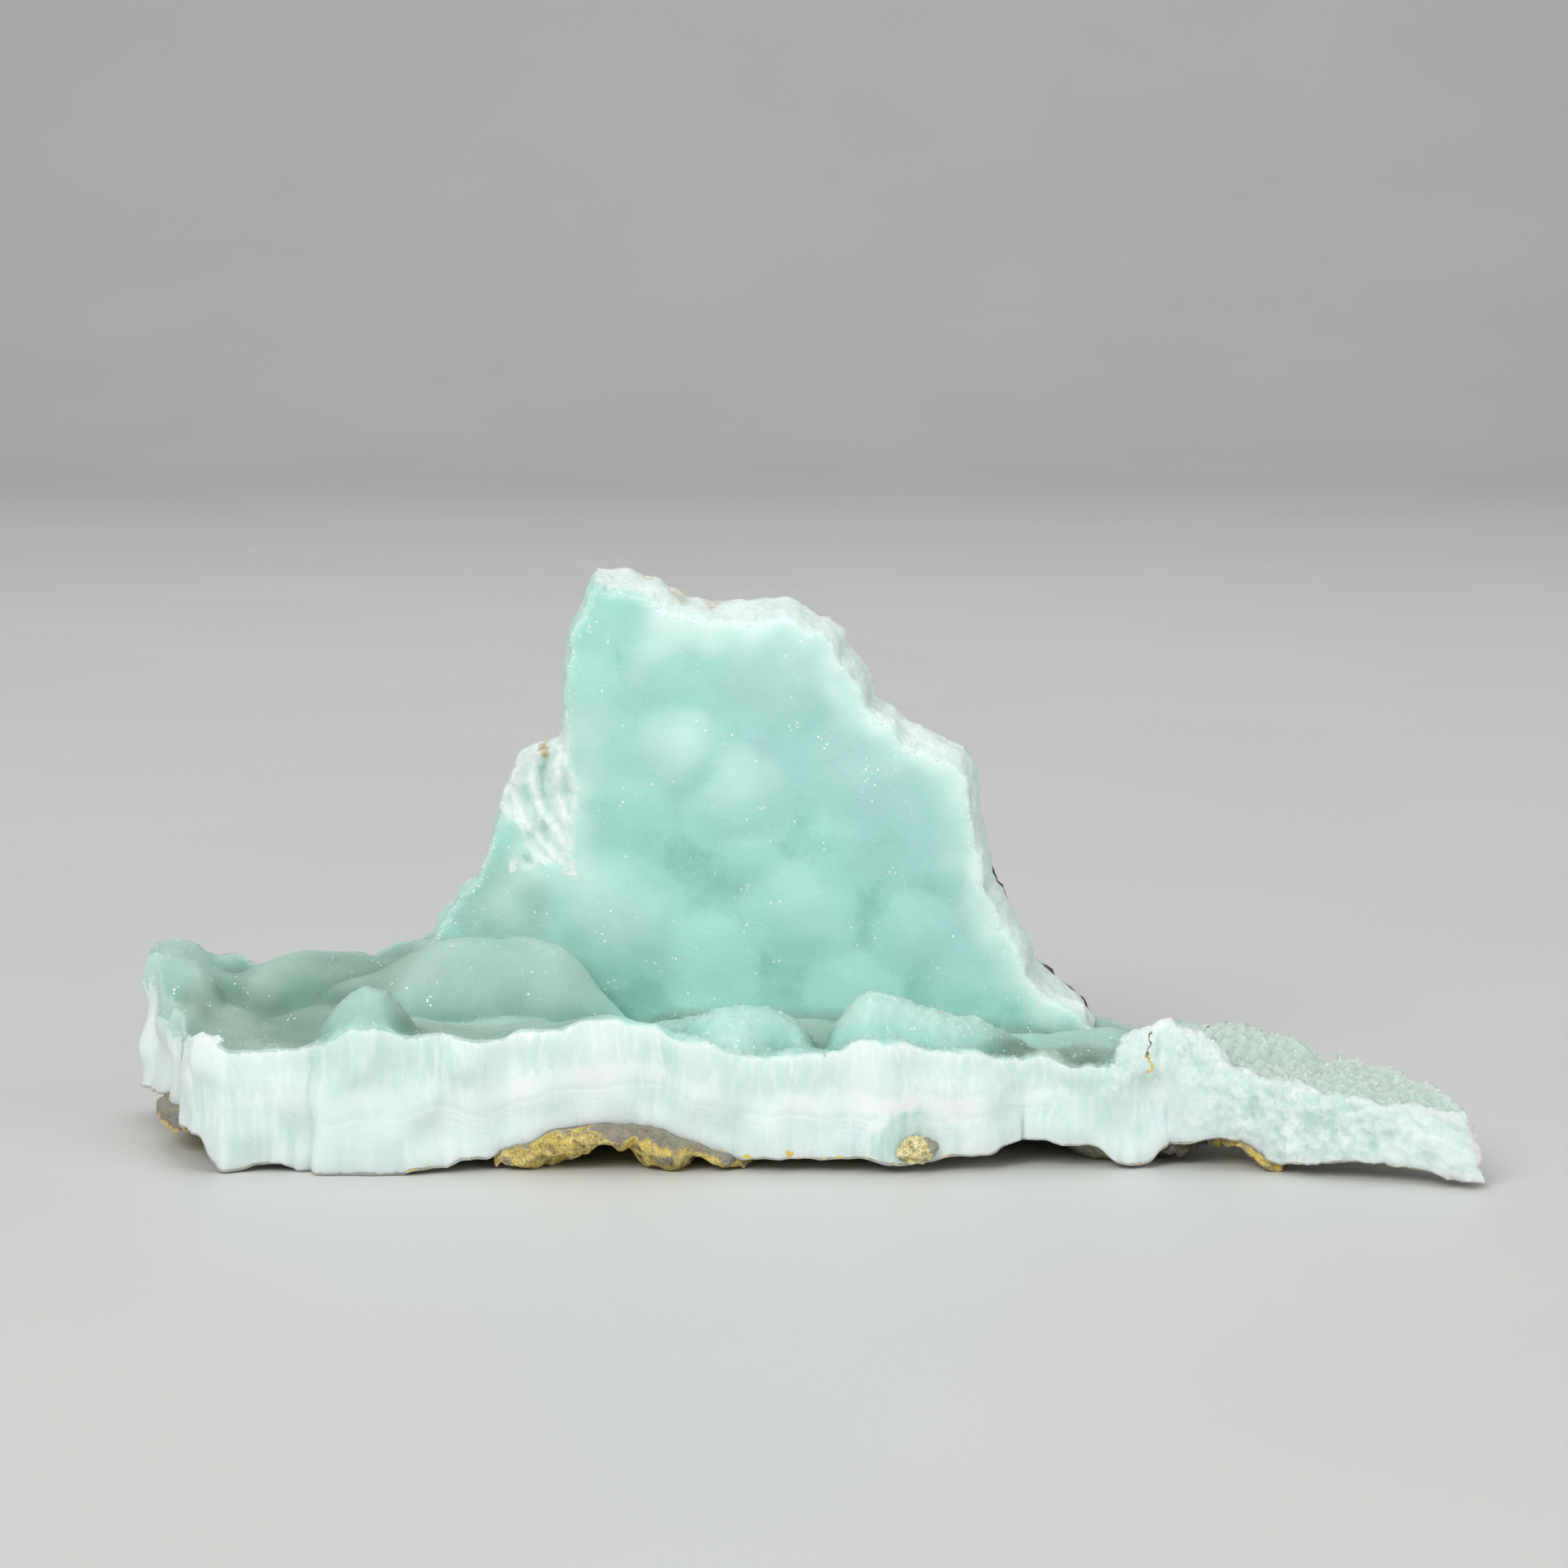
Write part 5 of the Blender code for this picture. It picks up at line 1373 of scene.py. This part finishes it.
def druse_look(colours):
    """Small clear crystal tips, coloured as the surface that they stand on, some painted whiter as painted
    glints.
    """
    made, place, shader = new_look("druse_look")
    # Painted glints: a share of the tips is painted whiter where their faces would flash.
    painted_gleam = grain_number(place, 0.45)
    colour = mixed(ranged(painted_gleam, 0.3, 1.0, 0.08, 0.5), growth_colour(place, colours), colours.painted_glint)
    fill_sockets(place.tree, shader, {
        "Base Color": colour,
        "Roughness": ranged(painted_gleam, 0.0, 1.0, 0.12, 0.45),
        "IOR": 1.6,
        "Specular IOR Level": 0.6,
        "Normal": bump(noise(place, 0.2, 2.0, 0.5), 0.03, 0.4),
    })
    return made


def rind_look(name, colours, shares, skin, body, powder):
    """Earthy limonite: a skin, the body under it, its powder, and dark spots, in the given shares."""
    body_share, dark_share = shares
    made, place, shader = new_look(name)
    blotch = noise(place, 1.9, 4.0, 0.62)
    crumb = noise(place, 0.5, 4.0, 0.66)
    spots = noise(place, 0.9, 3.0, 0.6)
    middle = 0.5 + 0.22 * (0.5 - body_share)
    colour = mixed(ranged(blotch, middle - 0.10, middle + 0.10), skin, body)
    pale = ranged(crumb, 0.44, 0.62, 0.0, 0.85) * field(place, "powder")
    colour = mixed(pale * ranged(blotch, middle, middle + 0.1), colour, powder)
    edge = 0.5 + 0.22 * (0.5 - dark_share)
    colour = mixed(ranged(spots, edge - 0.10, edge + 0.18, 0.0, 0.85), colour, colours.rind_dark)
    colour = mixed(ranged(abs(crumb - 0.5), 0.016, 0.006, 0.0, 0.8), colour, colours.rind_dark)
    seam = ranged(field(place, "seam") + swing(spots, -0.2, 0.2), 0.6, 0.9)
    fill_sockets(place.tree, shader, {
        "Base Color": mixed(seam * 0.85, colour, skin),
        "Roughness": ranged(crumb, 0.3, 0.7, 0.95, 0.72),
        "Specular IOR Level": 0.3,
        "Normal": bump(grains(place, 0.3), 0.14, 0.6, bump(crumb, 0.5, 0.8)),
    })
    return made


def stage_look(name, colour, roughness):
    """A plain studio surface, mottled so faintly that it looks even."""
    made, place, shader = new_look(name)
    dim = [0.97 * part for part in colour[:3]] + [1.0]
    fill_sockets(place.tree, shader, {
        "Base Color": mixed(swing(noise(place, 90.0, 2.0, 0.5), 0.0, 1.0), dim, colour),
        "Roughness": roughness,
        "Specular IOR Level": 0.35,
    })
    return made


def crystal_tips(centres, normals, widths, lengths, lean, sides, shoulder, seed):
    """Points and triangles of tapered crystals that stand on centres and lean at random.

    shoulder is the share of the length below the point of the crystal, and 0 makes plain pyramids.
    """
    random = np.random.default_rng(seed)
    count = len(centres)
    axis = unit(normals + random.normal(0, lean, (count, 3)))
    across = unit(np.cross(axis, random.normal(0, 1, (count, 3))))
    beside = np.cross(axis, across)
    angles = np.linspace(0, 2 * math.pi, sides, endpoint=False)[None, :, None]
    angles = angles + random.uniform(-0.25, 0.25, (count, sides, 1))
    flatness = random.uniform(0.6, 1.0, (count, 1, 1))
    girth = np.cos(angles) * across[:, None] + np.sin(angles) * beside[:, None] * flatness
    foot = centres - axis * 0.45 * widths[:, None]
    aside = 0.2 * widths * random.uniform(-1, 1, count)
    tip = centres + axis * lengths[:, None] + (across + beside) * aside[:, None]
    rows = [foot[:, None] + girth * 0.5 * widths[:, None, None]]
    if shoulder:
        middle = centres + axis * (shoulder * lengths)[:, None]
        rows.append(middle[:, None] + girth * 0.44 * widths[:, None, None])
    rows.append(tip[:, None])
    points = np.concatenate(rows, axis=1)
    ring = np.arange(sides)
    after = (ring + 1) % sides
    faces = []
    if shoulder:
        faces.append(np.column_stack([ring, after, after + sides]))
        faces.append(np.column_stack([ring, after + sides, ring + sides]))
    last = sides * (len(rows) - 2)
    top = np.full(sides, sides * (len(rows) - 1))
    faces.append(np.column_stack([ring + last, after + last, top]))
    faces = np.concatenate(faces)
    each = points.shape[1]
    faces = (np.arange(count)[:, None, None] * each + faces).reshape(-1, 3)
    return points.reshape(-1, 3), faces, each


def druse_object(name, spots, tips, normals, look):
    """Joined crystal tips, with the fields of the surface under each, and shaded softly as it is."""
    points, faces, each = tips
    fields = {field_name: np.repeat(values, each) for field_name, values in spots.items()}
    piece = mesh_object(name, points, faces, fields, look, True)
    middles = np.repeat(points.reshape(-1, each, 3).mean(1), each, axis=0)
    away = points - middles
    soft = unit(np.repeat(normals, each, axis=0) + 0.6 * away / np.linalg.norm(away, axis=1)[:, None])
    piece.data.normals_split_custom_set_from_vertices(soft.tolist())
    piece.visible_shadow = False
    attach(piece)


# The crust's two plates: outline, near and far surface, relief of the broken edge, and seed
PLATES = {
    "floor": (FLOOR_OUTLINE, floor_skin, floor_underside, floor_break, 11),
    "wall": (WALL_OUTLINE, wall_skin, wall_back, wall_break, 21),
}


def scatter(surface, spacing, seed):
    """Jittered spots over the floor or the wall: u, v, place, outward normal, gap to the lip, and random."""
    random = np.random.default_rng(seed)
    outline, near, far, relief, plate_seed = PLATES[surface]
    rings, _ = edge_rings(outline, near, far, 0.36, 1, relief, 1.0, plate_seed, surface == "wall")
    grid, gaps = grid_inside(rings[0], spacing, 0.42, random)
    u, v = grid.T
    height = near(u, v)
    slope_u = (near(u + SLOPE_REACH, v) - near(u - SLOPE_REACH, v)) / (2 * SLOPE_REACH)
    slope_v = (near(u, v + SLOPE_REACH) - near(u, v - SLOPE_REACH)) / (2 * SLOPE_REACH)
    if surface == "floor":
        normal = np.column_stack([-slope_u, -slope_v, np.ones(len(u))])
        places = np.column_stack([u, v, height])
    else:
        normal = np.column_stack([slope_u, -np.ones(len(u)), slope_v])
        places = np.column_stack([u, height, v])
    return u, v, places, unit(normal), gaps, random


def grow_druse(name, surface, spacing, density, size, shape, look, seed):
    """Scatters crystal tips over the floor or the wall, as thick and as large as the two functions say.

    shape is the tips' scale, how much they lean, their number of sides, and their shoulder.
    """
    scale, lean, sides, shoulder = shape
    u, v, places, normal, gaps, random = scatter(surface, spacing, seed)
    form = floor_form if surface == "floor" else wall_form
    fields = dict(skin_fields(surface, u, v, form), frost=frost_at(surface, u, v, gaps))
    chance = density(u, v, places, gaps, fields)
    if surface == "floor":
        chance = np.where(wall_form(u, places[:, 2]) < places[:, 1] - 0.3, 0, chance)
    else:
        chance = np.where(floor_form(u, places[:, 1]) > places[:, 2] + 0.4, 0, chance)
    keep = random.uniform(0, 1, len(u)) < chance
    widths = scale * size(u, v, gaps, fields)[keep] * random.uniform(0.65, 1.35, keep.sum())
    lengths = widths * random.uniform(0.4, 0.95, keep.sum())
    tips = crystal_tips(places[keep], normal[keep], widths, lengths, lean, sides, shoulder, seed + 1)
    kept = {field_name: values[keep] for field_name, values in fields.items() if field_name != "skin"}
    druse_object(name, kept, tips, normal[keep], look)


def clumps(u, v):
    """Where small crystals stand together: 0 nearly everywhere, up to 3 in the clumps."""
    return 3.0 * step(turned_swell(u, v, (1.0, 2.0), 127), 0.25, 0.7)


def wall_density(x, z, places, gaps, fields):
    above_floor = places[:, 2] - floor_form(x, places[:, 1])
    rim = step(-gaps, -1.2, -0.2) * 0.6
    fringe = step(-above_floor, -1.8, -0.6) * (0.05 + 0.35 * step(-x, 0.0, 8.0))
    lower = step(-z, -30.0, -12.0) * 0.08
    flank = 0.16 * step(-x, 19.0, 23.0) * step(-z, -27.0, -23.0)
    return np.maximum.reduce([rim, fringe, flank, (lower + 0.03) * clumps(x, z)]) * fields["skin"]


def wall_tip_size(x, z, gaps, fields):
    return 0.22 + 0.14 * step(-gaps, -1.0, -0.2)


def floor_density(x, y, places, gaps, fields):
    film = 1 - 0.9 * step(fields["film"], 0.3, 0.8)
    rim = step(-gaps, -1.0, -0.2) * 0.15
    grainy = 0.14 * fields["grainy"] * (1 - fields["coarse"])
    coarse = step(fields["coarse"], 0.05, 0.5) * 0.18
    sparse = (0.02 + 0.03 * film) * clumps(x, y)
    return np.maximum.reduce([rim, grainy, coarse, sparse]) * fields["skin"]


def floor_tip_size(x, y, gaps, fields):
    return 0.21 + 0.10 * fields["coarse"] + 0.08 * fields["grainy"] + 0.04 * step(-gaps, -1.0, -0.2)


def tail_density(x, y, places, gaps, fields):
    return 0.16 * step(fields["coarse"], 0.3, 0.9) * step(x, 30.0, 35.0)


def tail_tip_size(x, y, gaps, fields):
    return 0.30 + 0.2 * fields["coarse"]


def rind_piece(name, outline, thickness, lumps, seed, look):
    """A scrap of rind that clings under the floor."""

    def against(x, y):
        return np.maximum(floor_underside(x, y) + RIND_GAP, 0.3)

    def outside(x, y):
        deep = raise_lumps(np.full_like(x, thickness), lumps, x, y, RIND_FILLET)
        deep = deep + turned_swell(x, y, RIND_SWELL, seed) + pillars(x, y, RIND_RIDGES, seed + 1)
        return np.clip(floor_underside(x, y) - np.maximum(deep, 0.15), 0.0, None)

    rind = Plate(outline, against, outside, RIND_FACETS, RIND_ROWS, rind_break, RIND_ROUGHNESS, seed)
    x = rind.points[:, 0]
    far_left = step(-x, 40.0, 44.0)
    wide_seam = 0.45 * plateau(x, -16.2, -14.4, -5.0, -3.0) + 0.4 * plateau(x, -15.2, -14.2, -12.8, -11.8)
    seam = 0.8 * rind.layer + wide_seam * (rind.face < 2) + 0.55 * far_left
    powder = 0.3 + 0.7 * step(-x, 12.0, 15.0) * (1 - far_left)
    attach(plate_object(name + "_crumb", rind, lying, {"seam": seam, "powder": powder}, look), name)


def back_rind_piece(look):
    """The dark skin on the back of the wall."""

    def against(x, z):
        return wall_back(x, z) - RIND_GAP

    def outside(x, z):
        deep = raise_lumps(np.full_like(x, BACK_RIND_THICKNESS), BACK_RIND_LUMPS, x, z, RIND_FILLET)
        deep = deep + turned_swell(x, z, BACK_RIND_SWELL, 63) + pillars(x, z, BACK_RIND_RIDGES, 64)
        return wall_back(x, z) + np.maximum(deep, 0.1)

    facets, rows = BACK_RIND_FACETS, BACK_RIND_ROWS
    rind = Plate(BACK_RIND_OUTLINE, against, outside, facets, rows, rind_break, RIND_ROUGHNESS, 61)
    fields = {"seam": 0.6 * rind.layer, "powder": rind.layer * 0}
    attach(plate_object("back_rind_crumb", rind, standing, fields, look), "back_rind")


def nodule_piece(look):
    """The rough pebble of limonite in the foot of the front break."""
    shape = bmesh.new()
    bmesh.ops.create_icosphere(shape, subdivisions=6, radius=1.0)
    points = np.array([vert.co[:] for vert in shape.verts])
    faces = np.array([[vert.index for vert in face.verts] for face in shape.faces])
    shape.free()
    x, y, z = points.T
    rough = 1 + swell(2.6 * x + 0.7 * z, 2.6 * y - 1.3 * z, NODULE_ROUGHNESS, 9)
    rough = rough + pillars(x + 0.3 * y, z - 0.4 * y, NODULE_RIDGES, 81)
    rough = rough + turned_swell(x, z, NODULE_GRAIN, 82)
    points = points * rough[:, None] * NODULE_RADII + NODULE_MIDDLE
    points[:, 2] = np.maximum(points[:, 2], 0.0)
    # The nodule's right side, and a little of its top, take the brown skin colour.
    fields = {"seam": step(x + 0.3 * z, 0.35, 0.75), "powder": np.ones(len(x))}
    attach(mesh_object("nodule_crumb", points, faces, fields, look), "limonite_nodule")


def area_light(name, place, target, size, power):
    """A square soft white light at a place, turned towards a target, in metres."""
    lamp = bpy.data.lights.new(name, "AREA")
    lamp.shape = "SQUARE"
    lamp.size = size
    lamp.energy = power
    light = new_object(name, lamp)
    light.location = place
    light.rotation_euler = (Vector(target) - Vector(place)).to_track_quat("-Z", "Y").to_euler()


def colour_property(name, description, default):
    default = (*default, 1.0)
    return FloatVectorProperty(
        name=name, description=description, subtype="COLOR", size=4, min=0.0, max=1.0, default=default
    )


def length_property(name, description, default):
    return FloatProperty(
        name=name, description=description, unit="LENGTH", min=0.00001, precision=5, default=default
    )


def row_property(name, description, default):
    return IntProperty(name=name, description=description, min=4, default=default)


class AragoniteSizes(bpy.types.PropertyGroup):
    """Sizes of the specimen's fine detail."""

    facet: length_property("Facet", "Size of the crust's facets", 0.00036)
    attachment_facet: length_property("Attachment facet", "Facets of the old attachment surface", 0.00095)
    druse_gap: length_property("Druse gap", "Distance between neighbouring small crystals", 0.00030)
    tail_gap: length_property("Tail gap", "Distance between the tail's coarse crystals", 0.00080)
    tip_scale: FloatProperty(name="Tip scale", description="Size of all crystal tips", min=0.1, default=1.0)
    floor_rows: row_property("Floor rows", "Rows of facets down the floor's break", 26)
    wall_rows: row_property("Wall rows", "Rows of facets across the wall's break", 20)


class AragoniteColours(bpy.types.PropertyGroup):
    """Colours of the specimen and of the studio."""

    growth_deep: colour_property("Growth, deep", "Growth surface in hollows", (0.285, 0.58, 0.51))
    growth_middle: colour_property("Growth", "Growth surface", (0.435, 0.735, 0.67))
    growth_pale: colour_property("Growth, pale", "Growth surface on crowns", (0.55, 0.79, 0.735))
    growth_haze: colour_property("Growth haze", "Bluish haze on the wall", (0.435, 0.665, 0.65))
    # The two film colours are also painted as shade into the crease where the floor meets the wall.
    growth_film: colour_property("Growth film", "Grey-green film on the floor", (0.315, 0.44, 0.365))
    film_deep: colour_property("Growth film, deep", "The same in hollows", (0.17, 0.28, 0.215))
    druse_white: colour_property("Druse", "Pale crystal tips and rims", (0.76, 0.90, 0.86))
    druse_green: colour_property("Druse, green", "Coarse druse on the tail", (0.50, 0.61, 0.54))
    # Painted glint: the white painted where crystal faces would flash.
    painted_glint: colour_property("Glint", "Crystal faces that flash", (0.93, 0.98, 0.96))
    sugar_clear: colour_property("Clear grains", "Clear grains of the sugary breaks", (0.665, 0.795, 0.775))
    break_body: colour_property("Break", "Body of the break", (0.79, 0.88, 0.845))
    break_white: colour_property("Break, white", "White bands and fibres of the break", (0.885, 0.95, 0.93))
    # Also painted as shade into the hollows of the chip's scoops.
    break_aqua: colour_property("Break, aqua", "Clear fibres near the growth surface", (0.64, 0.81, 0.75))
    break_blue: colour_property("Break, blue", "Break near the foot", (0.765, 0.87, 0.86))
    break_clear: colour_property("Break, clear", "Clear places in the break", (0.54, 0.74, 0.70))
    rim_shade: colour_property("Rim, shade", "Clearer grains of the wall's rim", (0.70, 0.80, 0.765))
    rim_white: colour_property("Rim, white", "White grains of the wall's rim", (0.86, 0.91, 0.885))
    foot_film: colour_property("Foot film", "Dark line along the foot of the break", (0.26, 0.26, 0.22))
    attachment: colour_property("Attachment", "Old attachment surface", (0.46, 0.47, 0.43))
    ochre: colour_property("Ochre", "Limonite", (0.80, 0.615, 0.165))
    ochre_pale: colour_property("Ochre, pale", "Powder on the limonite", (0.88, 0.76, 0.34))
    rust: colour_property("Rust", "Dark brown earth on the back", (0.20, 0.145, 0.09))
    cream: colour_property("Cream", "Palest powder, on the nodule", (0.94, 0.90, 0.62))
    rind_brown: colour_property("Brown", "Brown-grey skin of the rind", (0.29, 0.285, 0.26))
    rind_shade: colour_property("Dark rind", "Skin of the dark rind", (0.125, 0.112, 0.10))
    rind_dark: colour_property("Dark", "Dark spots of the rind", (0.05, 0.042, 0.036))
    stain: colour_property("Stain", "Iron stain on the crust", (0.54, 0.41, 0.24))
    floor: colour_property("Floor", "Studio floor", (0.66, 0.67, 0.65))


class ARAGONITE_OT_crust(bpy.types.Operator):
    """Build the crust: the floor and the standing wall, joined, with their breaks"""

    bl_idname = "aragonite.crust"
    bl_label = "Crust"
    bl_options = {"REGISTER", "UNDO"}

    def execute(self, context):
        sizes = context.scene.aragonite_sizes
        coarser = 1.0
        facet = coarser * sizes.facet / MILLIMETRE
        facets = (facet, facet, coarser * sizes.attachment_facet / MILLIMETRE)
        look = aragonite_look(context.scene.aragonite_colours)
        plates = []
        for surface, rows in (("floor", sizes.floor_rows), ("wall", sizes.wall_rows)):
            outline, near, far, relief, seed = PLATES[surface]
            rows = max(4, round(rows / coarser))
            plates.append(Plate(outline, near, far, facets, rows, relief, 1.0, seed, surface == "wall"))
        floor, wall = plates
        coarse = patches(COARSE_PATCHES + FLOOR_BREAKS, *floor.points[:, :2].T) > 0.3
        sugary = (coarse & (floor.face == 0)) | ((floor.face == 1) & (floor.points[:, 0] > 34.0))
        crust = plate_object("crust", floor, lying, floor_fields(floor), look, silky(floor, sugary))
        smooth = silky(wall, np.zeros(len(wall.points), bool))
        join_to(crust, plate_object("wall_plate", wall, standing, wall_fields(wall), look, smooth))
        attach(crust, "aragonite_crust")
        return {"FINISHED"}


class ARAGONITE_OT_druse(bpy.types.Operator):
    """Grow the small crystal tips on the wall, on the floor and along the tail"""

    bl_idname = "aragonite.druse"
    bl_label = "Druse"
    bl_options = {"REGISTER", "UNDO"}

    def execute(self, context):
        sizes = context.scene.aragonite_sizes
        look = druse_look(context.scene.aragonite_colours)
        for name, surface, spacing, density, size, lean, shoulder, seed in (
            ("wall_druse", "wall", sizes.druse_gap, wall_density, wall_tip_size, 0.35, 0.0, 201),
            ("floor_druse", "floor", sizes.druse_gap, floor_density, floor_tip_size, 0.35, 0.0, 211),
            ("tail_druse", "floor", sizes.tail_gap, tail_density, tail_tip_size, 0.45, 0.5, 221),
        ):
            shape = (sizes.tip_scale, lean, TIP_SIDES, shoulder)
            grow_druse(name, surface, spacing / MILLIMETRE, density, size, shape, look, seed)
        return {"FINISHED"}


class ARAGONITE_OT_rind(bpy.types.Operator):
    """Add the scraps of rind under the floor and on the back, and the limonite nodule"""

    bl_idname = "aragonite.rind"
    bl_label = "Rind and nodule"
    bl_options = {"REGISTER", "UNDO"}

    def execute(self, context):
        colours = context.scene.aragonite_colours
        brown, shade, pale = colours.rind_brown, colours.rind_shade, colours.ochre_pale
        ochre = rind_look("ochre_rind_look", colours, (0.85, 0.15), brown, colours.ochre, pale)
        dark = rind_look("dark_rind_look", colours, (0.30, 0.50), shade, colours.rust, colours.stain)
        cream = rind_look("nodule_look", colours, (1.3, 0.10), brown, pale, colours.cream)
        for name, outline, thickness, lumps, seed in (
            ("front_rind", FRONT_RIND_OUTLINE, FRONT_RIND_THICKNESS, FRONT_RIND_LUMPS, 31),
            ("left_rind", LEFT_RIND_OUTLINE, LEFT_RIND_THICKNESS, LEFT_RIND_LUMPS, 41),
            ("tail_rind", TAIL_RIND_OUTLINE, TAIL_RIND_THICKNESS, TAIL_RIND_LUMPS, 51),
        ):
            rind_piece(name, outline, thickness, lumps, seed, ochre)
        outline, thickness, lumps = DARK_RIND_OUTLINE, DARK_RIND_THICKNESS, DARK_RIND_LUMPS
        rind_piece("dark_rind", outline, thickness, lumps, 71, dark)
        back_rind_piece(dark)
        nodule_piece(cream)
        return {"FINISHED"}


class ARAGONITE_OT_stage(bpy.types.Operator):
    """Set up the plain floor, the soft lights and the camera"""

    bl_idname = "aragonite.stage"
    bl_label = "Studio"
    bl_options = {"REGISTER", "UNDO"}

    def execute(self, context):
        scene = context.scene
        look = stage_look("studio_floor_look", tuple(scene.aragonite_colours.floor), 0.45)
        around = [(math.sin(angle), 1 - math.cos(angle)) for angle in np.linspace(0, math.pi / 2, 17)]
        bend = [(STAGE_BEND + STAGE_RADIUS * across, STAGE_RADIUS * up) for across, up in around]
        profile = [(STAGE_FRONT, 0.0), *bend, (STAGE_BEND + STAGE_RADIUS, STAGE_TOP)]
        count = len(profile)
        points = [(x, y, z - STAGE_DROP) for x in (-STAGE_HALF_WIDTH, STAGE_HALF_WIDTH) for y, z in profile]
        faces = [(i, i + count, i + count + 1, i + 1) for i in range(count - 1)]
        mesh = bpy.data.meshes.new("studio_floor")
        mesh.from_pydata(points, [], faces)
        mesh.polygons.foreach_set("use_smooth", [True] * len(faces))
        mesh.materials.append(look)
        new_object("studio_floor", mesh)

        for light in LIGHTS:
            area_light(*light)
        world = bpy.data.worlds.new("studio_air")
        world.use_nodes = True
        air = world.node_tree.nodes["Background"].inputs
        air["Color"].default_value = (1.0, 1.0, 1.0, 1.0)
        air["Strength"].default_value = AIR_STRENGTH
        scene.world = world

        lens = bpy.data.cameras.new("camera")
        lens.sensor_width = CAMERA_SENSOR
        lens.lens = CAMERA_LENS
        lens.clip_start = 0.01
        lens.clip_end = 20.0
        camera = new_object("camera", lens)
        camera.location = to_frame([CAMERA_PLACE])[0]
        camera.rotation_euler = (math.radians(90.0 - CAMERA_PITCH), 0.0, 0.0)
        scene.camera = camera
        scene.view_settings.view_transform = "Standard"
        return {"FINISHED"}


OPERATORS = (ARAGONITE_OT_crust, ARAGONITE_OT_druse, ARAGONITE_OT_rind, ARAGONITE_OT_stage)


class ARAGONITE_PT_panel(bpy.types.Panel):
    """The specimen's pieces and settings"""

    bl_idname = "ARAGONITE_PT_panel"
    bl_label = "Aragonite"
    bl_space_type = "VIEW_3D"
    bl_region_type = "UI"
    bl_category = "Aragonite"

    def draw(self, context):
        for operator in OPERATORS:
            self.layout.operator(operator.bl_idname)
        for settings in (context.scene.aragonite_sizes, context.scene.aragonite_colours):
            column = self.layout.column()
            for name in settings.__annotations__:
                column.prop(settings, name)


CLASSES = (AragoniteSizes, AragoniteColours, *OPERATORS, ARAGONITE_PT_panel)


def register():
    for made in CLASSES:
        bpy.utils.register_class(made)
    bpy.types.Scene.aragonite_sizes = PointerProperty(type=AragoniteSizes)
    bpy.types.Scene.aragonite_colours = PointerProperty(type=AragoniteColours)


def unregister():
    del bpy.types.Scene.aragonite_colours
    del bpy.types.Scene.aragonite_sizes
    for made in reversed(CLASSES):
        bpy.utils.unregister_class(made)


def main():
    register()
    bpy.ops.aragonite.crust()
    bpy.ops.aragonite.druse()
    bpy.ops.aragonite.rind()
    bpy.ops.aragonite.stage()
    bpy.context.view_layer.update()


if __name__ == "__main__":
    main()
